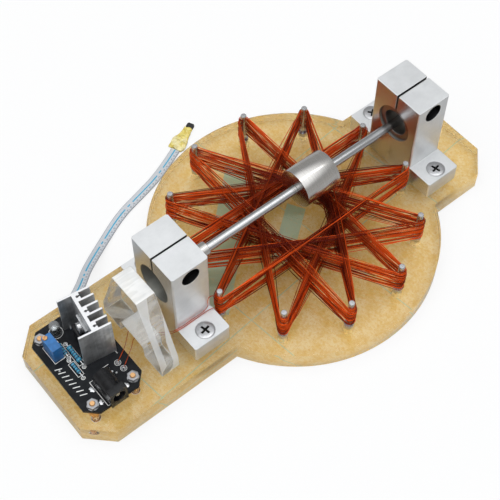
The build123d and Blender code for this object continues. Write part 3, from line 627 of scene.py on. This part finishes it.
# ---- winding -------------------------------------------------------------------------------
def winding_line(passes, foot, height, strand):
    """One wire round the star, pass upon pass, and a tone for each of its points."""
    rng = random.Random(11)
    centres = [Vector((*middle_of(n).xy, 0)) * MM for n in COIL_PINS]
    order = [(6 + 5 * k) % 12 for k in range(12)]
    base = PLATE_TOP + foot
    points, tones, bundle = [], [], {}
    for p in range(passes):
        for k in range(12):
            a, b, c = (centres[order[(k + j) % 12]] for j in range(3))
            run, onward = (b - a).normalized(), (c - b).normalized()
            side = Vector((run.y, -run.x, 0))
            reach = PIN_RADIUS * MM + strand * (1.15 + 1.9 * rng.choice((0, 0, 1, 1, 2, 3)))
            level = base + height * (p + k / 12) / passes + rng.gauss(0, 0.16) * MM
            if (k, p // 4) not in bundle:
                bundle[k, p // 4] = (rng.gauss(0, 1.3) * MM, rng.gauss(0, 0.8) * MM, rng.random())
            swing, lift, tone = bundle[k, p // 4]
            stray = rng.random() < 0.14
            swing += rng.gauss(0, 2.0 if stray else 0.6) * MM
            lift += rng.gauss(0, 1.2 if stray else 0.32) * MM
            tone = min(1.0, max(0.0, 0.35 * tone + 0.65 * rng.random()))
            start, end = a + side * reach, b + side * reach
            skew = rng.uniform(0.38, 0.62)
            for t in (0.08, 0.24, 0.4, 0.6, 0.76, 0.92):
                bow = math.sin(math.pi * t ** (math.log(0.5) / math.log(skew)))
                place = start.lerp(end, t) + side * swing * bow
                z = level + lift * bow + rng.gauss(0, 0.06) * MM
                points.append((place.x, place.y, min(max(z, base), base + height)))
                tones.append(tone)
            turn = run.angle(onward) * (1 if run.cross(onward).z > 0 else -1)
            for j in range(6):
                place = b + Matrix.Rotation(turn * j / 5, 3, "Z") @ side * reach
                points.append((place.x, place.y, min(max(level, base), base + height)))
                tones.append(tone)
    return points, tones


LEAD_TONE = 0.42
LEAD_SLIMMING = 0.03 * MM       # the leads' lacquer is seen this far inside the solids' faces


class MOTOR_OT_winding(bpy.types.Operator):
    """Star winding of fine lacquered wire"""
    bl_idname = "motor.winding"
    bl_label = "Winding"

    def execute(self, context):
        s, c = sizes(), colours()
        wire = enamelled_wire(tuple(c.wire_bright), tuple(c.wire_dark))
        points, tones = winding_line(s.winding_passes, s.winding_foot, s.winding_height, s.strand_radius)
        mesh = curve_mesh("winding", points, s.strand_radius)
        values = [tones[min(i // WIRE_SIDES, len(tones) - 1)] for i in range(len(mesh.vertices))]
        mesh.attributes.new("tone", "FLOAT", "POINT").data.foreach_set("value", values)
        piece = collect("winding", mesh, "frame", wire)
        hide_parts("star_coil")
        for node in ("coil_lead_1", "coil_lead_2"):
            bm = merged_copy(node)
            tone = bm.verts.layers.float.new("tone")
            bm.normal_update()
            for v in bm.verts:
                v[tone] = LEAD_TONE
                v.co -= v.normal * LEAD_SLIMMING
            lead = collect(node.replace("coil_", ""), to_mesh(bm, node), body_of(node), wire)
            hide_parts(node)
        return {"FINISHED"}


# ---- base ----------------------------------------------------------------------------------
PAPER_CONTACT = 0.05 * MM       # how far the stuck paper reaches into the plate, so that no air shows


class MOTOR_OT_base(bpy.types.Operator):
    """Clear plate, masking paper and end stop"""
    bl_idname = "motor.base"
    bl_label = "Base"

    def execute(self, context):
        c = colours()
        paper_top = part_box("masking_paper")[1].z

        def raise_top(bm):
            upper = [v for v in bm.verts if v.co.z > paper_top - 0.01 * MM]
            bmesh.ops.translate(bm, vec=(0, 0, PAPER_CONTACT), verts=upper)

        paper = kraft_paper(tuple(c.paper), tuple(c.paper_golden), tuple(c.print_green))
        refined("masking_paper", "paper_sheet", paper, 0.00002, 1, raise_top)
        refined("base_plate", "clear_plate", clear_acrylic(), 0.00025, 2)
        # the stop's eased corners are painted 0.7 pale as a highlight, and its upward sawn edges paler still
        sawn = see_through("cut_acrylic", 0.48, 0.03, 0.7, (0.06, 0.55, 0.55), (1.0, 1.0, 0.995))
        refined("end_stop", "clear_stop", sawn, 0.0004)
        return {"FINISHED"}


# ---- metalwork -----------------------------------------------------------------------------
PIN_PROFILE = ((0, 7.2), (2.5, 7.2), (2.5, 10.75), (2.4, 10.93), (2.22, 11.0), (1.95, 10.96), (1.75, 10.75),
               (PIN_RADIUS, 10.72), (PIN_RADIUS, 28.74), (1.28, 29.04), (0, 29.1))
FOOT_SCREW_HEAD = 4.8           # radius
FOOT_SCREW_NECK = 10.0          # from the head's top to the thread
FOOT_SCREW_PITCH = 0.4
CROSS_SPAN, CROSS_WIDTH, CROSS_BAR = 5.0, 1.15, 3.4     # the bars that cut a head's cross
CROSS_TURNS = {-1: math.radians(12), 1: math.radians(38)}       # of the screws on either side


def foot_screw_profile(top):
    """Countersunk head with a slightly domed top and a stepped rim, and its shank with thread rings."""
    head = [(0, 0.30), (2.4, 0.26), (4.1, 0.14), (4.35, 0.02), (4.5, -0.12), (4.62, 0.02),
            (FOOT_SCREW_HEAD, 0.03), (FOOT_SCREW_HEAD, -0.1), (2.5, -2.4), (2.38, -FOOT_SCREW_NECK)]
    thread = [(r, lift - FOOT_SCREW_NECK - FOOT_SCREW_PITCH * (k + 1))
              for k in range(19) for r, lift in ((2.5, 0.12), (2.2, 0.0))]
    return [(r, top + z) for r, z in head + thread + [(0, thread[-1][1])]]


class MOTOR_OT_metalwork(bpy.types.Operator):
    """Supports, screws, pins and the rotor"""
    bl_idname = "motor.metalwork"
    bl_label = "Metalwork"

    def execute(self, context):
        s = sizes()
        bright = plated("bright_steel", (0.58, 0.58, 0.59), 0.2)
        nickel = turned_metal("nickel_plate", (0.62, 0.60, 0.575), 0.13, 3.5, 0.22)
        steel = turned_metal("steel_shaft", (0.54, 0.54, 0.545), 0.15, 4.0, 0.35)
        clamp = middle_of("clamp_screws")
        support_x = abs(middle_of("right_support").x)
        low, high = (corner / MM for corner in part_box("stator_rings"))
        aluminium = blasted_aluminium(support_x, clamp.z, AXIS_Z / MM, (high.z - low.z) / 2)
        for node in ("left_support", "right_support"):
            refined(node, node.replace("support", "block"), aluminium, s.edge_radius, 3)
        refined("shaft", "rotor_shaft", steel, 0.0001)
        self.rotor(nickel)
        # painted shade: the magnet rings in the bores take a darker copy of the nickel, for the shade inside
        # the bores
        bore_shaded_nickel = turned_metal("nickel_painted_shade", (0.34, 0.32, 0.30), 0.24, 3.5, 0.3)
        refined("stator_rings", "bore_magnets", bore_shaded_nickel, 0.0003)

        pins = bmesh.new()
        for node in COIL_PINS:
            lathe(pins, PIN_PROFILE, (*middle_of(node).xy, 0))
        modelled(pins, "pins", bright, *COIL_PINS)

        top = top_of("support_screws")
        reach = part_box("support_screws")[1].y / MM - FOOT_SCREW_HEAD
        screws, cutters = bmesh.new(), bmesh.new()
        for x in (-support_x, support_x):
            for side in (-1, 1):
                lathe(screws, foot_screw_profile(top), (x, side * reach, 0), 40)
                for bar in ((CROSS_SPAN, CROSS_WIDTH, CROSS_BAR), (CROSS_WIDTH, CROSS_SPAN, CROSS_BAR)):
                    brick(cutters, bar, (x, side * reach, top + 0.3), CROSS_TURNS[side])
        # handling marks, and painted shade: the cross recesses, below 0.25 mm under the tops, are near black
        worn_and_shaded = plated("worn_steel_shaded_recess", (0.56, 0.56, 0.57), 0.26, top - 0.25)
        modelled(carved(screws, cutters), "foot_screws", worn_and_shaded, "support_screws")
        refined("clamp_screws", "socket_screws", plated("black_steel", (0.03, 0.03, 0.03), 0.3), 0.0003)
        dress(bright, "led_legs", "trimmer_legs", "transistor_legs", "dc_jack_tails", "dc_jack_pin")
        refined("transistor_screw", "tab_screw", bright, 0.0004, 3)
        refined("board_nuts", "stud_nuts", plated("nut_steel", (0.42, 0.42, 0.43), 0.22), 0.0003, 2)
        return {"FINISHED"}

    def rotor(self, nickel):
        """Bar magnet and the small rings on the shaft, turned about X."""
        stand = Matrix.Rotation(math.radians(90), 4, "Y")
        low, high = (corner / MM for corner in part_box("rotor_magnet"))
        length, radius, axis = high.x - low.x, (high.z - low.z) / 2, AXIS_Z / MM
        bore = ROTOR_BORE
        near = [(bore, 0.3), (bore + 0.3, 0), (radius - 0.45, 0), (radius - 0.12, 0.12), (radius, 0.45)]
        profile = near + [(r, length - x) for r, x in reversed(near)]
        magnet = bmesh.new()
        lathe(magnet, profile + profile[:1], (low.x, 0, axis), 96, stand)
        modelled(magnet, "bar_magnet", nickel, "rotor_magnet")
        low, high = (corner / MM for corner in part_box("shaft_rings"))
        thick = 5.0
        ring = [(bore, 0), (3.75, 0), (4.0, 0.25), (4.0, thick - 0.25), (3.75, thick), (bore, thick)]
        rings = bmesh.new()
        for x in (low.x, low.x + thick, high.x - 2 * thick, high.x - thick):
            lathe(rings, ring + ring[:1], (x, 0, axis), 64, stand)
        modelled(rings, "ring_magnets", nickel, "shaft_rings")


# ---- driver board --------------------------------------------------------------------------
RESISTORS = {"resistor_1": 10.2, "resistor_2": 15.0, "resistor_3": 11.4}     # span of the wire ends
BOARD_SCREW_X, BOARD_SCREW_Y = 11.0, 21.0       # from the board's middle, as are the places below
SOCKET_TAGS = ((-6.9, -14.6, 0.3, 3.0), (-7.2, -22.2, -0.5, 2.6), (6.3, -22.4, 0.4, 2.6))  # turn, length
LOOSE_JOINTS = ((4.9, -10.6), (5.4, -12.6), (6.6, -14.4), (3.6, 17.6), (6.2, 20.4), (-12.9, 2.4))


class MOTOR_OT_board(bpy.types.Operator):
    """Driver board and what it carries"""
    bl_idname = "motor.board"
    bl_label = "Driver board"

    def execute(self, context):
        c = colours()
        self.middle, self.top = middle_of("circuit_board"), top_of("circuit_board")
        tin = plated("tinned_metal", (0.78, 0.79, 0.80), 0.2)
        brass = plated("brass", (0.78, 0.46, 0.22), 0.2)
        black = moulded("black_moulding", (0.006, 0.006, 0.007), 0.2, 5.0, specular=0.3)
        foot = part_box("heat_sink")[0].z / MM
        refined("heat_sink", "sink", anodised(foot, top_of("heat_sink"), tuple(c.heat_sink)), 0.00012, 1)
        mask = moulded("black_board", (0.006, 0.007, 0.009), 0.32, 2.0, specular=0.16)
        refined("circuit_board", "board", mask, 0.00012, 1)
        refined("board_screws", "studs", brass, 0.0002)
        refined("board_standoffs", "spacers", brass, 0.00015)
        refined("trimmer_screw", "adjusting_screw", brass, 0.00006)
        refined("transistor_tab", "tab", tin, 0.00015)
        refined("transistor_body", "switch_body", black, 0.0002)
        refined("dc_jack", "socket", black, 0.00035, 3)
        blue = moulded("blue_moulding", tuple(c.trimmer), 0.32, 3.0, 0.2)
        refined("trimmer_body", "trimmer", blue, 0.00025)
        dress(tin, "resistor_1_leads", "resistor_2_leads", "resistor_3_leads")
        self.lamp()
        self.resistors(banded_lacquer(tuple(c.resistor), (0.02, 0.05, 0.10)))
        self.joints(tin)
        self.marks()
        return {"FINISHED"}

    def spot(self, dx, dy, lift=0.0):
        """Place on the board's top, from its middle."""
        return self.middle.x + dx, self.middle.y + dy, self.top + lift

    def lamp(self):
        """Clear lens with the small cup and post inside it."""
        centre, height = middle_of("led"), top_of("led") - self.top
        r, straight = LAMP_RADIUS, height - LAMP_RADIUS
        dome = [(r * math.cos(a), straight + r * math.sin(a)) for a in map(math.radians, range(0, 90, 15))]
        lens = bmesh.new()
        lathe(lens, [(0, 0), (2.9, 0), (2.9, 0.85), (2.75, 1.0), (r, 1.0), *dome, (0, height)],
              (centre.x, centre.y, self.top), 48)
        # the dome's slope is painted 0.15 pale as a highlight
        clear = see_through("clear_lens", 0.3, 0.2, 0.15, (0.6, 0.6, 0.3), (0.93, 0.95, 0.95), "Z")
        modelled(lens, "lamp", clear, "led")
        frame_parts = bmesh.new()
        brick(frame_parts, (1.3, 0.6, 3.4), (centre.x - 0.95, centre.y, self.top + 2.4), ease=0.1)
        lathe(frame_parts, [(0, 3.6), (0.9, 3.9), (1.2, 4.6), (1.35, 4.6), (1.0, 3.6), (0, 3.4)],
              (centre.x - 0.3, centre.y, self.top), 20)
        brick(frame_parts, (0.7, 0.6, 4.0), (centre.x + 1.4, centre.y, self.top + 2.2), ease=0.1)
        added(frame_parts, "lamp_frame", plated("lamp_metal", (0.70, 0.71, 0.72)), "frame")

    def resistors(self, lacquer):
        """Dog-bone bodies whose bands follow an attribute along them."""
        for node in RESISTORS:
            low, high = (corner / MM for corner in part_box(node))
            half, r = (high.y - low.y) / 2, (high.x - low.x) / 2
            cap = half - 1.5
            side = [(0, half), (r * 0.55, half - 0.02), (r * 0.88, half - 0.22), (r, half - 0.6),
                    (r, cap + 0.35), (r * 0.9, cap + 0.05), (r * 0.8, cap - 0.2)]
            bm = bmesh.new()
            along = bm.verts.layers.float.new("along")
            lathe(bm, side + [(radius, -z) for radius, z in reversed(side)], (0, 0, 0), 24)
            bmesh.ops.subdivide_edges(bm, edges=[e for e in bm.edges if e.calc_length() > 1.5 * MM], cuts=5)
            for v in bm.verts:
                v[along] = v.co.z / MM
            bmesh.ops.rotate(bm, cent=(0, 0, 0), matrix=Matrix.Rotation(math.radians(90), 3, "X"),
                             verts=bm.verts)
            bmesh.ops.translate(bm, vec=(low + high) / 2 * MM, verts=bm.verts)
            modelled(bm, node + "_body", lacquer, node)

    def joints(self, tin):
        """Solder of the two coil leads, and the other tinned pads and joints of the board."""
        dome = [(0, 1.0), (0.28, 0.97), (0.55, 0.72), (0.8, 0.38), (1.05, 0.1), (1.1, 0.0), (0, 0)]
        leads = bmesh.new()
        low, high = (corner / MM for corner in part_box("solder_joints"))
        for x, y in ((low.x + 1.1, high.y - 1.1), (high.x - 1.1, low.y + 1.1)):
            lathe(leads, dome, (x, y, self.top), 20)
        modelled(leads, "lead_joints", tin, "solder_joints")
        pads = bmesh.new()
        pad = [(1.4, 0), (2.75, 0), (2.75, 0.05), (1.4, 0.05), (1.4, 0)]
        for x in (-BOARD_SCREW_X, BOARD_SCREW_X):
            for y in (-BOARD_SCREW_Y, BOARD_SCREW_Y):
                lathe(pads, pad, self.spot(x, y), 32)
        for dx, dy, turn, length in SOCKET_TAGS:
            brick(pads, (1.5, length, 0.5), self.spot(dx, dy, 0.2), turn, 0.18)
            brick(pads, (2.3, 0.9, 0.34), self.spot(dx, dy, 0.12), turn, 0.12)
        small = [(0, 0.5), (0.3, 0.42), (0.55, 0.12), (0.6, 0.0), (0, 0)]
        for dx, dy in LOOSE_JOINTS:
            lathe(pads, small, self.spot(dx, dy), 16)
        for node, span in RESISTORS.items():
            spot = middle_of(node)
            for y in (-span / 2, span / 2):
                lathe(pads, small, (spot.x, spot.y + y, self.top), 16)
        added(pads, "board_joints", tin, "frame")

    def marks(self):
        """White rings, outlines and a plain hatch printed on the board."""
        ink = moulded("board_marking", (0.72, 0.72, 0.70), 0.6)
        bm = bmesh.new()

        def stroke(dx, dy, length, turn=0.0, width=0.24):
            brick(bm, (width, length, 0.04), self.spot(dx, dy, 0.02), turn)

        def outline(dx, dy, width, length):
            for k in (-1, 1):
                stroke(dx + k * width / 2, dy, length)
                stroke(dx, dy + k * length / 2, width, math.radians(90))

        def ring(dx, dy, r, width=0.3):
            lathe(bm, [(r, 0), (r + width, 0), (r + width, 0.04), (r, 0.04), (r, 0)], self.spot(dx, dy), 24)

        for node, span in RESISTORS.items():
            spot = middle_of(node) - self.middle
            outline(spot.x, spot.y, 3.0, span - 3.2)
            for y in (-span / 2, span / 2):
                ring(spot.x, spot.y + y, 0.72)
        outline(-9.6, 11.75, 5.6, 10.4)         # round the trimmer
        outline(-0.6, -18.2, 10.4, 14.6)        # round the power socket
        ring(-3.1, 20.0, 3.2, 0.2)              # round the lamp
        for dx, dy in ((9.9, -10.6), (10.4, -14.6)):
            ring(dx, dy, 1.35, 0.2)             # round the leads' joints
        for k in range(8):
            stroke(-12.9 + 0.25 * k, 3.4 - 2.5 * k, 3.4, math.radians(68), 0.42)
        stroke(12.6, -3.6, 6.0)
        stroke(3.2, -8.6, 5.6, math.radians(90))
        added(bm, "board_marks", ink, "frame")


# ---- sensor lead ---------------------------------------------------------------------------
def flat_section(bm, width, thickness):
    """Outline of the flat cable across its length: gentle ribs, rounded sides."""
    across = bm.verts.layers.float.new("across")
    half, h = width / 2, thickness / 2
    upper = [(-half, 0.0), (-half * 0.985, h * 0.62), (-half * 0.93, h * 0.95)]
    upper += [(half * k / 10, h * (1.0 if k % 2 else 0.84)) for k in range(-8, 9)]
    upper += [(half * 0.93, h * 0.95), (half * 0.985, h * 0.62), (half, 0.0)]
    corners = upper + [(x, -z * 0.96) for x, z in reversed(upper[1:-1])]
    ring = [bm.verts.new((x, z, 0)) for x, z in corners]
    for v, (x, z) in zip(ring, corners):
        v[across] = x / half
    return [bm.edges.new(pair) for pair in zip(ring, ring[1:] + ring[:1])]


def standing(points, i):
    """Where the section stands at a point of the line: X across, Y up, Z along."""
    ahead = (points[min(i + 1, len(points) - 1)] - points[max(i - 1, 0)]).normalized()
    side = ahead.cross(Vector((0, 0, 1))).normalized()
    up = side.cross(ahead)
    place = Matrix((side, up, ahead)).transposed().to_4x4()
    place.translation = points[i]
    return place


FOLD_SEED = 6                   # unseeded, noise_vector would follow the clock


class MOTOR_OT_sensor_lead(bpy.types.Operator):
    """Flat sensor cable with its tape and sensor"""
    bl_idname = "motor.sensor_lead"
    bl_label = "Sensor lead"

    def execute(self, context):
        s, c = sizes(), colours()
        points = route_points("ribbon", RIBBON_ROUTE)
        bm = bmesh.new()
        along = bm.verts.layers.float.new("along")
        edges = flat_section(bm, s.ribbon_width, s.ribbon_thickness)
        stand = standing(points, 0)
        bmesh.ops.transform(bm, matrix=stand, verts=bm.verts)
        bmesh.ops.edgeloop_fill(bm, edges=edges)
        gone = 0.0
        for i in range(1, len(points)):
            made = bmesh.ops.extrude_edge_only(bm, edges=edges)["geom"]
            fresh = [g for g in made if isinstance(g, bmesh.types.BMVert)]
            edges = [g for g in made if isinstance(g, bmesh.types.BMEdge) and
                     all(v in fresh for v in g.verts)]
            onward = standing(points, i)
            bmesh.ops.transform(bm, matrix=onward @ stand.inverted(), verts=fresh)
            stand = onward
            gone += (points[i] - points[i - 1]).length
            for v in fresh:
                v[along] = gone / MM
        bmesh.ops.edgeloop_fill(bm, edges=edges)
        sheath = dashed_ribbon((0.64, 0.66, 0.69), (0.04, 0.38, 0.60), (0.24, 0.27, 0.32))
        cable = modelled(bm, "flat_cable", sheath, "sensor_cable", sharp=60.0)
        tape = self.tape(crumpled_film(tuple(c.tape), (0.66, 0.49, 0.07)))
        sensor = refined("hall_sensor", "sensor", moulded("sensor_black", (0.012, 0.012, 0.013)), 0.00015)
        return {"FINISHED"}

    def tape(self, film):
        """The tape's wrap, remeshed fine and pressed into folds."""
        blank = linked("tape_blank", to_mesh(merged_copy("sensor_tape"), "tape_blank"))
        grid = blank.modifiers.new("grid", "REMESH")
        grid.mode, grid.voxel_size = "VOXEL", 0.0003
        bm = taken_up(applied(blank))
        low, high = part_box("sensor_tape")
        every_axis = {"use_axis_x": True, "use_axis_y": True, "use_axis_z": True}
        bmesh.ops.smooth_vert(bm, verts=bm.verts, factor=0.5, **every_axis)
        noise.seed_set(FOLD_SEED)
        for v in bm.verts:
            broad = noise.noise(v.co / MM * 0.28) * 1.3
            sharp = abs(noise.noise(v.co / MM * 0.62 + Vector((7, 3, 1)))) * 0.9
            if v.co.z - low.z > 0.3 * (high.z - low.z):
                v.co.z = low.z + (v.co.z - low.z) * (0.62 + 0.5 * (broad + sharp))
            push = noise.noise_vector(v.co / MM * 0.45) * 0.45 * MM
            v.co.x += push.x
            v.co.y += push.y
            v.co.z = max(v.co.z, low.z + 0.03 * MM)
        bmesh.ops.smooth_vert(bm, verts=bm.verts, factor=0.4, **every_axis)
        return modelled(bm, "tape_wrap", film, "sensor_tape", sharp=80.0)


# ---- stage ---------------------------------------------------------------------------------
LIGHT_ABOVE, LIGHT_AROUND, LIGHT_FRONT = 1.52, 0.26, 0.1       # strengths of the world's light
UNDER_PLATE_GAIN = 0.72         # added for what is seen through the plate
WHITE_IN_GLOSS = 0.2            # share of the white backdrop in reflections


def ray_kinds(f):
    """Whether a ray comes from the camera, off a gloss or through a clear piece."""
    kinds = ("Camera", "Glossy", "Transmission")
    return [f.node("ShaderNodeLightPath", out=f"Is {kind} Ray") for kind in kinds]


def backdrop_world():
    """White to the camera and through clear pieces; for light, bright overhead and dimmer low down.

    What lies under the plate is lit more strongly, in place of the light that the plate holds back.
    """
    world = bpy.data.worlds.new("studio")
    bpy.context.scene.world = world
    f = Finish("studio", world)
    toward = f.node("ShaderNodeTexCoord", out="Generated")
    x, y, z = (f.node("ShaderNodeSeparateXYZ", None, {0: toward}, out=axis) for axis in "XYZ")
    overhead = (z * 0.965 - x * 0.20 - y * 0.12).ease(0.48, 0.93)
    front = (y * -1.0).ease(0.1, 0.9) * (0.6 - z).ease(0.0, 0.5)
    level = overhead * LIGHT_ABOVE + LIGHT_AROUND + front * LIGHT_FRONT
    soft = f.node("ShaderNodeBackground", None, {
        "Color": f.blend(z.ease(0.0, 0.8), (1.0, 0.985, 0.96), (0.96, 0.98, 1.0)), "Strength": level})
    camera, glossy, through = ray_kinds(f)
    under_plate = through * (f.node("ShaderNodeLightPath", out="Diffuse Depth") > 0.5)
    white = f.node("ShaderNodeBackground", None, {
        "Color": (1.0, 1.0, 1.0), "Strength": under_plate * UNDER_PLATE_GAIN + 1.0})
    seen = camera.most(through).most(glossy * WHITE_IN_GLOSS)
    mixed = f.node("ShaderNodeMixShader", None, {0: seen, 1: soft, 2: white})
    f.node("ShaderNodeOutputWorld", None, {"Surface": mixed})


def floor_finish():
    """Floor that the camera and clear pieces see as white, with the object's shadow on it."""
    f = Finish("floor")
    camera, glossy, through = ray_kinds(f)
    clear = camera.most(through)
    grey = f.blend(clear, (0.4, 0.4, 0.4), (0.9, 0.9, 0.9))
    diffuse = f.node("ShaderNodeBsdfDiffuse", None, {"Color": grey})
    glow = f.node("ShaderNodeEmission", None, {"Color": (1.0, 1.0, 1.0), "Strength": 1.0})
    seen = (clear * 0.78).most(glossy * WHITE_IN_GLOSS)
    mixed = f.node("ShaderNodeMixShader", None, {0: seen, 1: diffuse, 2: glow})
    f.node("ShaderNodeOutputMaterial", None, {"Surface": mixed})
    return f.material


def area_light(name, place, target, size, power):
    """Soft white rectangular lamp aimed at a point."""
    lamp = bpy.data.lights.new(name, "AREA")
    lamp.shape, lamp.size, lamp.size_y = "RECTANGLE", *size
    lamp.energy = power
    holder = bpy.data.objects.new(name, lamp)
    bpy.context.scene.collection.objects.link(holder)
    holder.location = place
    holder.rotation_mode = "QUATERNION"
    holder.rotation_quaternion = (Vector(target) - Vector(place)).to_track_quat("-Z", "Y")
    return holder


class MOTOR_OT_stage(bpy.types.Operator):
    """Floor, light and camera"""
    bl_idname = "motor.stage"
    bl_label = "Stage"

    def execute(self, context):
        scene = context.scene
        bm = bmesh.new()
        bmesh.ops.create_grid(bm, x_segments=1, y_segments=1, size=3.0)
        mesh = bpy.data.meshes.new("floor")
        bm.to_mesh(mesh)
        bm.free()
        mesh.materials.append(floor_finish())
        floor = bpy.data.objects.new("floor", mesh)
        floor.location.z = -0.2 * MM            # clear of the paper's underside
        scene.collection.objects.link(floor)
        backdrop_world()
        area_light("strip", (0.0, -0.10, 1.1), (0, 0, 0), (1.5, 0.14), 1.6)
        camera = bpy.data.objects.new("camera", bpy.data.cameras.new("camera"))
        scene.collection.objects.link(camera)
        camera.data.sensor_width, camera.data.lens = 36.0, 81.793       # fitted to the photograph
        camera.data.clip_start, camera.data.clip_end = 0.01, 20.0
        camera.location = (-0.219387, -0.233471, 0.474627)
        camera.rotation_mode = "QUATERNION"
        camera.rotation_quaternion = (0.902614, 0.269759, -0.097063, -0.321086)
        scene.camera = camera
        scene.view_settings.view_transform = "Standard"
        return {"FINISHED"}


STEPS = (MOTOR_OT_stage, MOTOR_OT_sensor_lead, MOTOR_OT_base, MOTOR_OT_metalwork, MOTOR_OT_winding,
         MOTOR_OT_board)


class MOTOR_PT_panel(bpy.types.Panel):
    """Pieces of the motor"""
    bl_label = "Motor"
    bl_idname = "MOTOR_PT_panel"
    bl_space_type = "VIEW_3D"
    bl_region_type = "UI"
    bl_category = "Motor"

    def draw(self, context):
        column = self.layout.column()
        for group in (context.scene.motor_sizes, context.scene.motor_colours):
            for key in group.__annotations__:
                column.prop(group, key)
        for step in STEPS:
            column.operator(step.bl_idname)


CLASSES = (MotorSizes, MotorColours, *STEPS, MOTOR_PT_panel)


def register():
    for cls in CLASSES:
        bpy.utils.register_class(cls)
    bpy.types.Scene.motor_sizes = bpy.props.PointerProperty(type=MotorSizes)
    bpy.types.Scene.motor_colours = bpy.props.PointerProperty(type=MotorColours)


def unregister():
    del bpy.types.Scene.motor_sizes, bpy.types.Scene.motor_colours
    for cls in reversed(CLASSES):
        bpy.utils.unregister_class(cls)


def main():
    register()
    for step in STEPS:
        group, _, name = step.bl_idname.partition(".")
        getattr(getattr(bpy.ops, group), name)()


if __name__ == "__main__":
    main()
